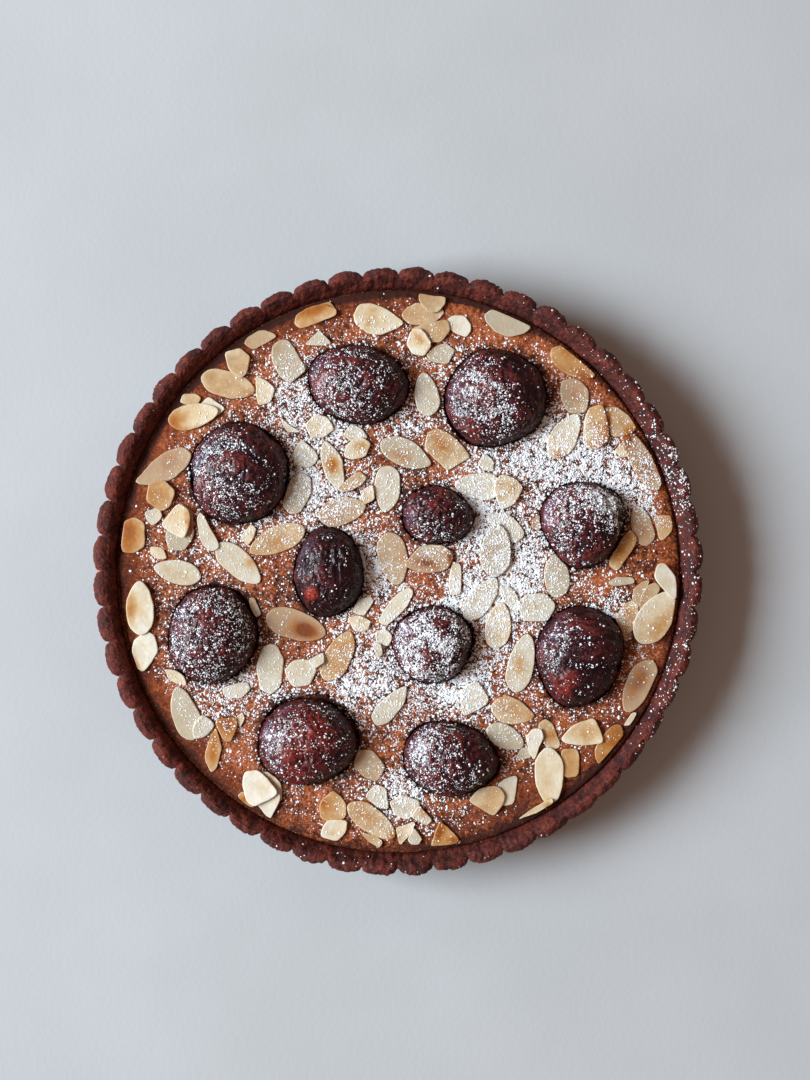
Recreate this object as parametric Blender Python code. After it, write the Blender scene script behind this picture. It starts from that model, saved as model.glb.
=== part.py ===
"""A chestnut tart: a fluted cocoa crust, an almond filling with flaked almonds baked on, and eleven whole chestnuts.

Lengths are in millimetres up to the last step, which makes them metres. +X is right and +Y is up as seen from above.
"""

import math
import random

import bmesh
import bpy

METRES_PER_MM = 0.001
SEED = 52

# Crust.
FLUTES = 52
FLUTE_START_DEG = 3.4
COLUMNS = FLUTES * 4
INNER_COLUMNS = FLUTES * 2
FLUTE_UNEVENNESS = 0.45
CREST_UNEVENNESS = 0.35
# The outer face from the foot up: radius at the tip of a flute, depth of the flutes, height.
OUTER_ROWS = (
    (112.8, 2.2, 0.0),
    (114.4, 2.9, 1.8),
    (118.3, 3.2, 19.0),
    (119.9, 3.2, 24.4),
    (119.5, 2.6, 26.5),
    (117.9, 1.3, 27.8),
    (115.6, 0.3, 28.0),
)
# The inner face from the crest down to the base: radius, height.
CREST_INNER = (113.7, 27.2)
INNER_ROWS = (
    (112.3, 25.4),
    (111.6, 22.8),
    (108.0, 5.6),
    (106.0, 4.2),
)
BASE_TOP = 4.2
# Where the flutes are flattened, and where the rim is broader on its inner side: direction, spread, amount.
FLAT_FLUTES = ((312.0, 13.0, 0.5), (345.0, 8.0, 0.25))
BROAD_RIM = ((291.0, 5.0, 1.0), (309.0, 5.0, 1.0))

# Filling: 0.3 mm clear of the crust.
FILLING_TOP = 23.4
FILLING_SWELL = 0.3
FILLING_WALL = (
    (105.7, 4.5),
    (107.6, 5.9),
    (111.2, 22.3),
)
FILLING_EDGE_RADIUS = 110.5
# The top of the filling, inwards: vertices in the ring, radius.
FILLING_RINGS = (
    (52, 103.0),
    (26, 72.0),
    (13, 36.0),
)

# Flaked almonds: proud of the filling by the first number, and by the second for each flake beneath.
FLAKE_PROUD = 0.9
FLAKE_STEP = 0.85
FLAKE_DOME = 0.25
FLAKE_ROOT = 1.2
FLAKE_DRAFT = 0.35
FLAKE_REACH = 109.7
FLAKE_TILT = 0.02
# Faces of the filling that lie this flat to each other are merged.
FLAT_DEG = 0.6

# Chestnuts: middle x and y, length, width, direction of the length, height above the filling, taper.
CHESTNUTS = (
    (-15.7, 73.7, 39.5, 30.5, -10, 13.5, 0.02),
    (38.5, 68.2, 40.0, 38.0, 15, 14.2, 0.03),
    (-62.7, 38.6, 39.5, 38.5, 80, 14.8, 0.04),
    (15.6, 21.8, 28.0, 22.6, -8, 10.2, 0.06),
    (73.0, 18.2, 34.0, 32.5, -88, 14.0, 0.17),
    (-27.4, -0.4, 35.0, 27.0, 90, 12.6, 0.03),
    (-73.2, -25.0, 38.5, 34.5, 78, 14.6, 0.02),
    (13.7, -28.8, 31.0, 30.0, 20, 12.8, 0.03),
    (71.3, -33.4, 39.5, 33.5, 76, 14.2, -0.06),
    (-35.8, -67.2, 38.5, 33.6, 4, 14.4, 0.02),
    (20.5, -73.9, 37.2, 28.8, -10, 13.2, 0.05),
)
CHESTNUT_DEPTH = 12.4
CHESTNUT_COLUMNS = 18
CHESTNUT_FULLNESS = 0.78
CHESTNUT_UPPER_DEG = (66.0, 46.0, 27.0, 11.0, 0.0)
CHESTNUT_LOWER_DEG = (-24.0, -52.0)
POCKET_GAP = 0.45

# Whole flakes: middle x and y, length, width, direction of the length, flakes beneath.
WHOLE_FLAKES = (
    (-67.0, 73.7, 22.0, 10.8, -14, 0),
    (-80.0, 61.0, 20.5, 9.6, 16, 1),
    (-90.6, 41.6, 22.5, 11.0, 36, 0),
    (-43.0, 83.2, 17.0, 12.2, -62, 0),
    (-32.0, 100.3, 18.0, 8.2, 20, 1),
    (-8.0, 99.5, 21.0, 12.0, -17, 0),
    (9.8, 101.4, 18.0, 8.8, 0, 0),
    (11.2, 69.5, 17.5, 9.8, 98, 0),
    (3.0, 46.5, 21.5, 11.0, -24, 0),
    (43.4, 97.5, 19.0, 9.6, -17, 0),
    (68.8, 82.0, 20.5, 9.8, -33, 1),
    (65.5, 53.2, 19.0, 10.4, 58, 0),
    (78.0, 57.0, 18.0, 10.0, 92, 1),
    (97.5, 43.2, 23.5, 11.2, -63, 0),
    (-87.2, 0.0, 18.5, 10.2, -8, 0),
    (-101.6, -14.2, 21.5, 11.0, 92, 1),
    (-99.4, -31.0, 17.0, 11.4, 82, 0),
    (-63.0, 3.2, 22.5, 10.8, -42, 0),
    (-47.8, 12.3, 23.5, 10.8, 21, 1),
    (-40.3, -21.2, 25.0, 12.0, -18, 0),
    (-50.5, -38.4, 20.0, 9.8, 86, 0),
    (-4.3, 32.6, 19.0, 10.6, 84, 1),
    (-22.0, 22.8, 19.5, 11.0, 15, 0),
    (31.6, 33.6, 19.0, 10.6, -4, 0),
    (-2.0, 4.8, 21.4, 12.0, 100, 0),
    (11.2, 4.7, 21.8, 10.4, 5, 1),
    (-23.6, -33.6, 21.5, 11.0, 62, 0),
    (38.4, 8.2, 21.2, 12.0, 84, 1),
    (32.0, -11.4, 20.5, 9.6, 54, 0),
    (39.6, -21.4, 18.4, 10.0, 82, 1),
    (48.9, -36.2, 23.8, 10.4, 78, 0),
    (63.2, -0.6, 17.5, 9.8, 94, 0),
    (96.0, 17.8, 16.5, 9.2, 105, 0),
    (88.4, -20.8, 17.8, 8.0, 70, 0),
    (101.4, -18.0, 24.0, 14.0, 56, 1),
    (-84.0, -56.2, 21.8, 10.6, -70, 0),
    (-10.4, -98.2, 22.4, 10.2, -36, 1),
    (44.9, -55.2, 18.0, 9.6, -12, 1),
    (42.4, -65.4, 16.2, 9.4, -24, 0),
    (59.5, -80.9, 23.0, 11.8, 93, 1),
    (83.6, -68.4, 17.6, 9.2, 64, 0),
    (95.2, -45.4, 23.0, 11.2, 62, 0),
)
WHOLE_OUTLINE = (
    (0.5, 0.0),
    (0.33, 0.34),
    (-0.04, 0.5),
    (-0.38, 0.36),
    (-0.5, 0.0),
    (-0.38, -0.36),
    (-0.04, -0.5),
    (0.33, -0.34),
)

# Broken flakes: flakes beneath, then the corners of the outline.
BROKEN_FLAKES = (
    (0, ((-60, 89.5), (-54, 95), (-49, 93.5), (-49, 91.5), (-55, 87.8))),
    (1, ((-69.5, 86.6), (-64, 87.5), (-58.2, 84), (-60.5, 76.5), (-66, 79.5), (-69.2, 80.5))),
    (0, ((-86, 66.5), (-85, 70), (-80, 69.8), (-77.5, 68), (-80, 64))),
    (0, ((-79, 65), (-74.5, 69.3), (-68.3, 64.3), (-71.5, 61), (-77, 62))),
    (0, ((-56, 74), (-54, 77), (-50.5, 75), (-49.5, 71), (-51.5, 65.5), (-54.6, 65.5))),
    (0, ((-34.5, 102), (-31, 107), (-26, 105.5), (-24, 101.5), (-29, 100))),
    (0, ((-35, 90), (-31, 95), (-26.5, 90.5), (-30, 89.5))),
    (1, ((8.2, 106.5), (9, 109.4), (18.8, 107.8), (18, 103.8), (14.5, 101.2), (10.6, 102.5))),
    (0, ((19, 97), (21.5, 100.8), (26, 101), (28.7, 96.5), (26.8, 91.7), (21.5, 94))),
    (0, ((7.5, 95), (13, 98), (19.5, 98.8), (20.6, 94), (16.5, 89), (9.5, 90.5))),
    (1, ((3.5, 89), (8, 95.5), (11, 93.5), (12.8, 88.5), (9, 85), (5.2, 86))),
    (0, ((11.5, 86.5), (14.5, 89.3), (19.5, 90), (22.6, 86.5), (19.5, 81.5), (12.5, 82.8))),
    (0, ((10.7, 49.5), (11.3, 54.2), (16, 56.2), (22, 53), (28.6, 45), (21.5, 40), (17, 41.6))),
    (0, ((-21, 54.5), (-17.5, 59.8), (-12.4, 55), (-12, 51.5), (-18.5, 49))),
    (1, ((-21.5, 45), (-19.5, 50.4), (-13.5, 53.5), (-10.4, 49.5), (-13, 44.8))),
    (0, ((-42, 45.5), (-37.5, 52), (-32, 46), (-33.5, 41.2), (-40.5, 42))),
    (0, ((-31, 48), (-28.5, 53), (-24.5, 48), (-21.3, 38), (-24.5, 31.5), (-29.5, 38))),
    (0, ((-37, 57.5), (-31.5, 61), (-25.4, 57.5), (-28.5, 52.5), (-34.5, 53.2))),
    (0, ((-46, 59.5), (-38, 57), (-36, 54.2), (-43, 56))),
    (0, ((31, 42.8), (33.6, 46.6), (38, 43.6), (37, 39.8), (32.4, 40))),
    (0, ((64, 69), (64.2, 75), (71, 76), (75.2, 71), (74, 62.5), (67, 62.5))),
    (0, ((80.5, 63), (85, 65.2), (94.6, 58.2), (91, 54.4), (82, 55))),
    (0, ((-98.6, 29), (-96.5, 34.6), (-90.5, 34.6), (-87.8, 31), (-90.4, 24.3), (-96.5, 25.2))),
    (0, ((-98.5, 23.5), (-94, 25), (-93, 21.5), (-96.8, 18), (-99, 20.6))),
    (0, ((-109, 19.6), (-104, 21.5), (-99.8, 20), (-100.2, 8), (-108.9, 6.9))),
    (1, ((-93.6, 18), (-86.5, 27), (-82.3, 24), (-82, 17.5), (-84.6, 12.8))),
    (0, ((-85.5, 27), (-81, 24), (-80.2, 14), (-84, 8), (-90.5, 8.6), (-92, 14), (-90, 20))),
    (0, ((-79.5, 20), (-77.6, 23.6), (-70.3, 9.6), (-73.5, 7.7), (-77.5, 10.6))),
    (0, ((-97.6, 9.8), (-92.6, 9.6), (-91.2, 5), (-94, 3.8), (-97.8, 6.4))),
    (0, ((-88.6, -36), (-81.6, -35.4), (-79.6, -38), (-79.6, -42.3), (-84, -42.6))),
    (0, ((-62, 13.5), (-58.2, 18.4), (-55.8, 16.8), (-57.4, 12.6), (-59.6, 9.6))),
    (0, ((-59, -10.6), (-56.8, -10.8), (-54.4, -17), (-56.6, -18.2), (-58.6, -14.6))),
    (0, ((-45, -38.5), (-40, -34), (-33.4, -34), (-32, -39), (-34.5, -46), (-42, -45.6))),
    (0, ((-43, 37), (-37, 38.8), (-34, 33), (-36.5, 24), (-41.4, 21.8), (-44.6, 26))),
    (0, ((-23.6, 31), (-15.6, 38.6), (-12.4, 36.8), (-13.4, 33.4), (-20.5, 30.2))),
    (0, ((-15, 31.5), (-10, 34), (-9, 28.6), (-13, 26.4))),
    (0, ((21.6, 4), (24.8, 3), (25.2, -4), (24.4, -9.2), (20.5, -9), (20, -2))),
    (0, ((4, -6), (5.6, -7.6), (2.6, -13), (-3, -19), (-5.2, -16), (-1, -9.6))),
    (0, ((-11, -10.4), (-9.8, -12.2), (-13.6, -17.8), (-16.6, -16.4))),
    (1, ((-20, -18.8), (-15, -17.2), (-10.4, -19.4), (-12, -23), (-17, -24))),
    (0, ((-8.4, -24), (-4.5, -22.6), (-1.4, -25.4), (-2.8, -30), (-7.4, -29))),
    (0, ((-10.2, -28), (-6.4, -28.6), (-6, -33), (-8.6, -34.6))),
    (0, ((37, 33), (39.5, 38), (47.4, 36), (48.4, 31), (44.5, 25.6), (38.5, 24.6))),
    (0, ((35, 21), (41.5, 23.2), (46.5, 20.2), (50.2, 14.6), (46.5, 11), (41, 15))),
    (0, ((40, -5.6), (44.5, -6.4), (48, -11), (47, -17), (41, -12))),
    (0, ((46.5, -13), (50.5, -9), (58, -8.6), (62.2, -14), (58.6, -19.8), (50, -19.6))),
    (0, ((54, 19.6), (57, 22), (59, 18.6), (56.8, 15.8), (54, 16.8))),
    (0, ((90, 17), (92.8, 12), (85.4, 0.4), (81.6, 3.6), (85.4, 11.6))),
    (0, ((100.6, 21.4), (108, 21.4), (108, 15.4), (104.2, 11.6))),
    (2, ((104.6, 2.8), (109.4, -1.8), (109.4, -8.2), (106.8, -9), (101, -2.6))),
    (0, ((100, -3.6), (102.6, -5.6), (95.4, -14), (92.6, -11), (93, -7.4), (96, -4.2))),
    (1, ((-80.8, -61), (-76.6, -56), (-72, -60.4), (-76, -65.2), (-80.4, -65.8))),
    (1, ((-72, -58.6), (-64, -57.3), (-63, -61), (-66, -67), (-68.8, -66.8))),
    (0, ((-64, -58), (-61.2, -55.4), (-60.4, -58.6), (-62.2, -61.4))),
    (0, ((-71.6, -61.4), (-69.6, -69), (-71.4, -77.4), (-73.6, -79.4), (-76.1, -73), (-74.2, -65))),
    (1, ((-60.2, -79), (-54.5, -78.2), (-46.6, -87), (-56, -92.6), (-59.4, -91), (-61.4, -84))),
    (0, ((-53, -79), (-49.4, -79), (-46.4, -83), (-46, -89), (-50, -88))),
    (0, ((-55, -91.6), (-50, -87), (-46.2, -88), (-50.6, -97.6), (-52.8, -95.6))),
    (0, ((-63, -89), (-61.4, -86.8), (-57, -89.8), (-57.4, -93), (-60.2, -91.6))),
    (0, ((-69.6, -46.6), (-65.4, -44.4), (-59.4, -43), (-58, -46.4), (-62, -50.2), (-68, -50))),
    (0, ((-15.4, -70), (-9, -71.4), (-5, -77), (-9, -83), (-13, -81.6), (-16.6, -78))),
    (0, ((-12.6, -88), (-8.6, -84.4), (-4.6, -85.4), (-3.6, -93), (-8.6, -93))),
    (0, ((-3.2, -91), (1, -88), (8, -90.2), (8.8, -94.4), (3.4, -97.6), (-1.4, -96))),
    (1, ((7.6, -92), (13.6, -98), (11.4, -100.2), (5.2, -97))),
    (0, ((-1, -100.8), (6.5, -98.4), (5, -103.2), (1.4, -108))),
    (0, ((3.4, -106), (6.2, -101), (9.4, -105), (8, -107.4), (4.6, -107.6))),
    (0, ((16.5, -98), (24.8, -106), (21, -107.4), (12.8, -108), (14.8, -103))),
    (0, ((-30.6, -97), (-30.6, -91), (-25.6, -86.4), (-20.4, -91), (-20.6, -97), (-26, -99.4))),
    (1, ((-28.4, -98), (-20, -97.6), (-20.8, -102.6), (-24, -106.6), (-30.4, -104.8))),
    (0, ((-15, -102.4), (-9, -104), (-6, -107), (-7.4, -109.2), (-12, -106.4))),
    (0, ((2.6, -46), (2.4, -52), (-4, -60.4), (-9, -61), (-9.6, -56), (-3.4, -50))),
    (0, ((25, -46), (31, -43), (35, -46), (34.8, -52), (26.6, -57.4))),
    (0, ((46.6, -73.2), (48.6, -69.6), (52.4, -70), (52.2, -73.6), (49, -74.4))),
    (2, ((50, -65.4), (52.6, -62), (56.4, -62), (57.4, -65.4), (53.6, -74.2), (51.2, -70.4))),
    (0, ((55, -60.4), (58, -58), (61, -60.2), (64.4, -69), (60, -71), (56.4, -66))),
    (0, ((64, -66), (69, -60.2), (77, -57.4), (81.2, -67), (73, -68.6), (66, -67.6))),
    (0, ((64, -70.4), (71.2, -70.2), (71, -80.6), (65.4, -81))),
    (0, ((94, -55.8), (92.2, -56), (89.4, -60.6), (91.4, -60.4))),
    (1, ((27.2, -90), (31.2, -85.4), (39, -84), (41.6, -87.4), (40.8, -91), (37.4, -95), (31, -92.4))),
    (0, ((39, -83.6), (47.6, -80.6), (45.6, -91.6), (40, -92.8))),
    (0, ((47.2, -97.8), (54, -94.4), (60, -90.8), (60.6, -91.6), (52, -96.6))),
)


def crust_bump(turn_deg, bumps):
    """How much of a local change there is in a direction: a sum of smooth hills."""
    total = 0.0
    for direction, spread, amount in bumps:
        away = (turn_deg - direction + 180.0) % 360.0 - 180.0
        total += amount * math.exp(-0.5 * (away / spread) ** 2)
    return total


def flute_share(turn_deg):
    """1 on the tip of a flute and 0 in the valley, as a half circle."""
    along = (turn_deg - FLUTE_START_DEG) * FLUTES / 360.0
    away = 2.0 * abs(along - round(along))
    return math.sqrt(max(0.0, 1.0 - away * away))


def filling_height(x, y):
    """Height of the filling's top at a place."""
    swell = math.sin(0.046 * x + 1.2) * math.cos(0.051 * y - 0.4) + 0.5 * math.sin(0.09 * (x - y))
    edge = max(0.0, math.hypot(x, y) - 100.0) / 11.0
    return FILLING_TOP + FILLING_SWELL * swell - 0.5 * edge * edge


def around(radius, turn_deg, height):
    """A place at a radius and direction."""
    turn = math.radians(turn_deg)
    return (radius * math.cos(turn), radius * math.sin(turn), height)


def add_ring(mesh, count, place):
    """Adds a closed ring of vertices, each where place() puts its direction."""
    ring = []
    for index in range(count):
        ring.append(mesh.verts.new(place(FLUTE_START_DEG + 360.0 * index / count)))
    return ring


def join_rings(mesh, first, second):
    """Joins two rings of the same count, or the first of twice the count of the second."""
    count = len(second)
    if len(first) == count:
        for index in range(count):
            after = (index + 1) % count
            mesh.faces.new((first[index], first[after], second[after], second[index]))
        return
    for index in range(count):
        after = (index + 1) % count
        left = first[2 * index]
        middle = first[2 * index + 1]
        right = first[(2 * index + 2) % len(first)]
        mesh.faces.new((left, middle, second[index]))
        mesh.faces.new((middle, second[after], second[index]))
        mesh.faces.new((middle, right, second[after]))


def close_ring(mesh, ring, centre):
    """Closes a ring with triangles to one vertex."""
    tip = mesh.verts.new(centre)
    for index in range(len(ring)):
        mesh.faces.new((ring[index], ring[(index + 1) % len(ring)], tip))


def join_in_order(mesh, rings):
    """Joins each ring to the next."""
    for first, second in zip(rings, rings[1:]):
        join_rings(mesh, first, second)


def finish_mesh(name, mesh):
    """Turns a mesh in millimetres into an object in metres with its faces outwards."""
    bmesh.ops.recalc_face_normals(mesh, faces=mesh.faces)
    bmesh.ops.scale(mesh, vec=(METRES_PER_MM,) * 3, verts=mesh.verts)
    data = bpy.data.meshes.new(name)
    mesh.to_mesh(data)
    mesh.free()
    made = bpy.data.objects.new(name, data)
    bpy.context.scene.collection.objects.link(made)
    return made


def dress(made, colour, roughness, sharp_deg):
    """Gives an object its own material and smooth shading."""
    material = bpy.data.materials.new(made.name)
    material.use_nodes = True
    shader = material.node_tree.nodes["Principled BSDF"]
    shader.inputs["Base Color"].default_value = (*colour, 1.0)
    shader.inputs["Roughness"].default_value = roughness
    material.diffuse_color = (*colour, 1.0)
    made.data.materials.clear()
    made.data.materials.append(material)
    made.data.shade_smooth()
    made.data.set_sharp_from_angle(angle=math.radians(sharp_deg))


def build_crust():
    """The fluted shell: outer face, crest, inner face and base."""
    chance = random.Random(SEED)
    tips = [chance.uniform(-1.0, 1.0) for _ in range(FLUTES)]
    crests = [chance.uniform(-1.0, 1.0) for _ in range(FLUTES)]

    def of_flute(values, turn_deg):
        along = (turn_deg - FLUTE_START_DEG) * FLUTES / 360.0
        before = math.floor(along)
        share = along - before
        return values[before % FLUTES] * (1.0 - share) + values[(before + 1) % FLUTES] * share

    def outer(row):
        radius, depth, height = row
        lift = height / OUTER_ROWS[-1][2]

        def place(turn_deg):
            strength = 1.0 - crust_bump(turn_deg, FLAT_FLUTES)
            tip = radius + FLUTE_UNEVENNESS * lift * of_flute(tips, turn_deg)
            across = tip - depth * (1.0 - flute_share(turn_deg)) * strength
            return around(across, turn_deg, height + CREST_UNEVENNESS * lift ** 4 * of_flute(crests, turn_deg))

        return place

    def inner(radius, height, broad, lift):
        def place(turn_deg):
            across = radius - broad * crust_bump(turn_deg, BROAD_RIM)
            return around(across, turn_deg, height + CREST_UNEVENNESS * lift * of_flute(crests, turn_deg))

        return place

    mesh = bmesh.new()
    rings = [add_ring(mesh, COLUMNS, outer(row)) for row in OUTER_ROWS]
    rings.append(add_ring(mesh, COLUMNS, inner(*CREST_INNER, 1.2, 0.8)))
    for index, (radius, height) in enumerate(INNER_ROWS):
        broad = 0.9 if index == 0 else 0.0
        rings.append(add_ring(mesh, INNER_COLUMNS, inner(radius, height, broad, 0.0)))
    join_in_order(mesh, rings)
    close_ring(mesh, rings[0], (0.0, 0.0, 0.0))
    close_ring(mesh, rings[-1], (0.0, 0.0, BASE_TOP))
    return finish_mesh("crust", mesh)


def build_filling_body():
    """The baked filling without its flakes and pockets."""
    mesh = bmesh.new()

    def wall(radius, height):
        return lambda turn_deg: around(radius, turn_deg, height)

    def top(radius):
        def place(turn_deg):
            x, y, _ = around(radius, turn_deg, 0.0)
            return (x, y, filling_height(x, y))

        return place

    rings = [add_ring(mesh, INNER_COLUMNS, wall(*row)) for row in FILLING_WALL]
    rings.append(add_ring(mesh, INNER_COLUMNS, top(FILLING_EDGE_RADIUS)))
    for count, radius in FILLING_RINGS:
        rings.append(add_ring(mesh, count, top(radius)))
    join_in_order(mesh, rings)
    close_ring(mesh, rings[0], (0.0, 0.0, FILLING_WALL[0][1]))
    close_ring(mesh, rings[-1], (0.0, 0.0, filling_height(0.0, 0.0)))
    return finish_mesh("filling", mesh)


def whole_outline(x, y, length, width, turn_deg):
    """Corners of a whole flake: rounded at one end and narrower at the other."""
    turn = math.radians(turn_deg)
    corners = []
    for along, across in WHOLE_OUTLINE:
        u = along * length
        v = across * width
        corners.append((x + u * math.cos(turn) - v * math.sin(turn), y + u * math.sin(turn) + v * math.cos(turn)))
    return corners


def kept_inside(x, y):
    """The place, moved in where it would touch the crust."""
    reach = math.hypot(x, y)
    share = min(1.0, FLAKE_REACH / reach)
    return (x * share, y * share)


def build_flake(index, corners, beneath, chance):
    """One flake as a low block rooted in the filling, with a slightly domed and tilted top."""
    corners = [kept_inside(x, y) for x, y in corners]
    middle_x = sum(x for x, _ in corners) / len(corners)
    middle_y = sum(y for _, y in corners) / len(corners)
    floor = filling_height(middle_x, middle_y)
    level = floor + FLAKE_PROUD + FLAKE_STEP * beneath + chance.uniform(-0.08, 0.08)
    lean_x = chance.uniform(-FLAKE_TILT, FLAKE_TILT)
    lean_y = chance.uniform(-FLAKE_TILT, FLAKE_TILT)
    mesh = bmesh.new()
    upper = []
    lower = []
    for x, y in corners:
        away = math.hypot(x - middle_x, y - middle_y)
        root_x = x + (x - middle_x) / away * FLAKE_DRAFT
        root_y = y + (y - middle_y) / away * FLAKE_DRAFT
        height = level + lean_x * (x - middle_x) + lean_y * (y - middle_y)
        upper.append(mesh.verts.new((x, y, height)))
        lower.append(mesh.verts.new((root_x, root_y, floor - FLAKE_ROOT)))
    join_rings(mesh, lower, upper)
    close_ring(mesh, upper, (middle_x, middle_y, level + FLAKE_DOME))
    mesh.faces.new(list(reversed(lower)))
    return finish_mesh(f"flake_{index:03d}", mesh)


def chestnut_ring(chestnut, rise_deg, grow, lumps):
    """Places a ring of a chestnut at a rise above its widest girth, grown by a gap."""
    x, y, length, width, turn_deg, dome, taper = chestnut
    rise = math.radians(rise_deg)
    fullness = CHESTNUT_FULLNESS if rise_deg > 0.0 else 0.95
    share = math.cos(rise) ** fullness
    reach = dome if rise_deg > 0.0 else CHESTNUT_DEPTH
    height = filling_height(x, y) + (reach + grow) * math.sin(rise)
    turn = math.radians(turn_deg)

    def place(column_deg):
        column = math.radians(column_deg)
        lump = 1.0 + 0.018 * math.sin(3.0 * column + lumps[0]) + 0.012 * math.sin(5.0 * column + lumps[1])
        u = (length / 2.0 * lump + grow) * share * math.cos(column)
        v = (width / 2.0 * lump * (1.0 - taper * math.cos(column)) + grow) * share * math.sin(column)
        side = x + u * math.cos(turn) - v * math.sin(turn)
        front = y + u * math.sin(turn) + v * math.cos(turn)
        return (side, front, height)

    return place


def build_chestnut(name, chestnut, grow, lumps):
    """One chestnut, or its pocket's cutter when grown: a full dome above and a rounder belly below."""
    x, y, _, _, _, dome, _ = chestnut
    middle = filling_height(x, y)
    mesh = bmesh.new()
    rings = []
    for rise_deg in CHESTNUT_UPPER_DEG:
        rings.append(add_ring(mesh, CHESTNUT_COLUMNS, chestnut_ring(chestnut, rise_deg, grow, lumps)))
    for rise_deg in CHESTNUT_LOWER_DEG:
        rings.append(add_ring(mesh, CHESTNUT_COLUMNS // 2, chestnut_ring(chestnut, rise_deg, grow, lumps)))
    join_in_order(mesh, rings)
    close_ring(mesh, rings[0], (x, y, middle + dome + grow))
    close_ring(mesh, rings[-1], (x, y, middle - CHESTNUT_DEPTH - grow))
    return finish_mesh(name, mesh)


def combine(made, others, operation):
    """Applies one Boolean with a collection of objects, then removes them."""
    collection = bpy.data.collections.new(made.name + "_" + operation.lower())
    bpy.context.scene.collection.children.link(collection)
    for other in others:
        bpy.context.scene.collection.objects.unlink(other)
        collection.objects.link(other)
    boolean = made.modifiers.new(operation.lower(), "BOOLEAN")
    boolean.operation = operation
    boolean.operand_type = "COLLECTION"
    boolean.collection = collection
    boolean.solver = "EXACT"
    bpy.context.view_layer.update()
    graph = bpy.context.evaluated_depsgraph_get()
    result = bpy.data.meshes.new_from_object(made.evaluated_get(graph), depsgraph=graph)
    made.modifiers.clear()
    made.data = result
    for other in others:
        bpy.data.objects.remove(other)
    bpy.data.collections.remove(collection)


def keep_largest_body(made):
    """Drops what isn't joined to the biggest body, which also fills a hollow sealed inside it."""
    mesh = bmesh.new()
    mesh.from_mesh(made.data)
    bmesh.ops.remove_doubles(mesh, verts=mesh.verts, dist=1e-7)
    left = set(mesh.verts)
    bodies = []
    while left:
        start = left.pop()
        body = {start}
        stack = [start]
        while stack:
            for edge in stack.pop().link_edges:
                for vert in edge.verts:
                    if vert in left:
                        left.discard(vert)
                        body.add(vert)
                        stack.append(vert)
        bodies.append(body)
    bodies.sort(key=len, reverse=True)
    loose = [vert for body in bodies[1:] for vert in body]
    bmesh.ops.delete(mesh, geom=loose, context="VERTS")
    bmesh.ops.dissolve_limit(mesh, angle_limit=math.radians(FLAT_DEG), verts=mesh.verts, edges=mesh.edges)
    bmesh.ops.triangulate(mesh, faces=mesh.faces)
    mesh.to_mesh(made.data)
    mesh.free()


def main():
    """Builds the tart."""
    for old in list(bpy.data.objects):
        bpy.data.objects.remove(old)
    chance = random.Random(SEED + 1)

    crust = build_crust()
    filling = build_filling_body()

    outlines = [(whole_outline(*flake[:5]), flake[5]) for flake in WHOLE_FLAKES]
    outlines += [(corners, beneath) for beneath, corners in BROKEN_FLAKES]
    flakes = []
    for index, (corners, beneath) in enumerate(outlines):
        flakes.append(build_flake(index, corners, beneath, chance))
    combine(filling, flakes, "UNION")

    chestnuts = []
    pockets = []
    for index, chestnut in enumerate(CHESTNUTS):
        lumps = (chance.uniform(0.0, 6.28), chance.uniform(0.0, 6.28))
        chestnuts.append(build_chestnut(f"chestnut_{index + 1:02d}", chestnut, 0.0, lumps))
        pockets.append(build_chestnut(f"pocket_{index + 1:02d}", chestnut, POCKET_GAP, lumps))
    combine(filling, pockets, "DIFFERENCE")
    keep_largest_body(filling)

    dress(crust, (0.07, 0.018, 0.014), 0.75, 40.0)
    dress(filling, (0.3, 0.1, 0.035), 0.7, 30.0)
    for chestnut in chestnuts:
        dress(chestnut, (0.03, 0.008, 0.009), 0.3, 60.0)


main()
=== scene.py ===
"""Looks of a chestnut tart: fluted cocoa crust, almond filling, flaked almonds, chestnuts and powdered sugar.

Lengths are in millimetres until a mesh is made. +X is right and +Y is up as seen from above, and +Z is up.
"""

from __future__ import annotations

import logging
import math
import random
from collections.abc import Sequence
from dataclasses import dataclass, field
from enum import Enum

import bpy
import numpy as np
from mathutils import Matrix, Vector


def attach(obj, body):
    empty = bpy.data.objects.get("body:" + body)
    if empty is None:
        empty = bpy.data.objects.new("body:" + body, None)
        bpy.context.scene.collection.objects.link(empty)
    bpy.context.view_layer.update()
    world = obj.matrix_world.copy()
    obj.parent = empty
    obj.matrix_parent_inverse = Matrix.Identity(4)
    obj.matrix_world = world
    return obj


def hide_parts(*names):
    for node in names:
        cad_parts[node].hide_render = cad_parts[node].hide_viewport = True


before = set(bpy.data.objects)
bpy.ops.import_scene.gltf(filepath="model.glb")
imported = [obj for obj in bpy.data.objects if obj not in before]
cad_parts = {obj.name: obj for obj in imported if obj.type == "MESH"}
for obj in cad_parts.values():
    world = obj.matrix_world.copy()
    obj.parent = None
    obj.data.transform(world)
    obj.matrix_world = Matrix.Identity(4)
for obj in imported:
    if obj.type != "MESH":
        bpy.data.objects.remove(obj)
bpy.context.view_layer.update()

LOG = logging.getLogger("tart")
MM = 0.001
SEED = 52
GRADIENTS = np.random.default_rng(SEED).normal(size=(256, 3))
GRADIENTS /= np.linalg.norm(GRADIENTS, axis=1)[:, None]

Array = np.ndarray
Piece = bpy.types.Object
Material = bpy.types.Material
Colour = tuple[float, float, float]
Rows = tuple[tuple[float, ...], ...]
Line = tuple[tuple[float, float], ...]
# Round hills: middle x and y, spread, height.
Hills = tuple[tuple[float, float, float, float], ...]
# Hills by direction: direction in degrees, spread, height.
Swells = tuple[tuple[float, float, float], ...]
# Values of a node's sockets, by name or by number.
Values = dict[str | int, object]
SUGAR_WHITE: Colour = (0.88, 0.885, 0.9)


# ---------------- patterns and mesh parts


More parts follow.
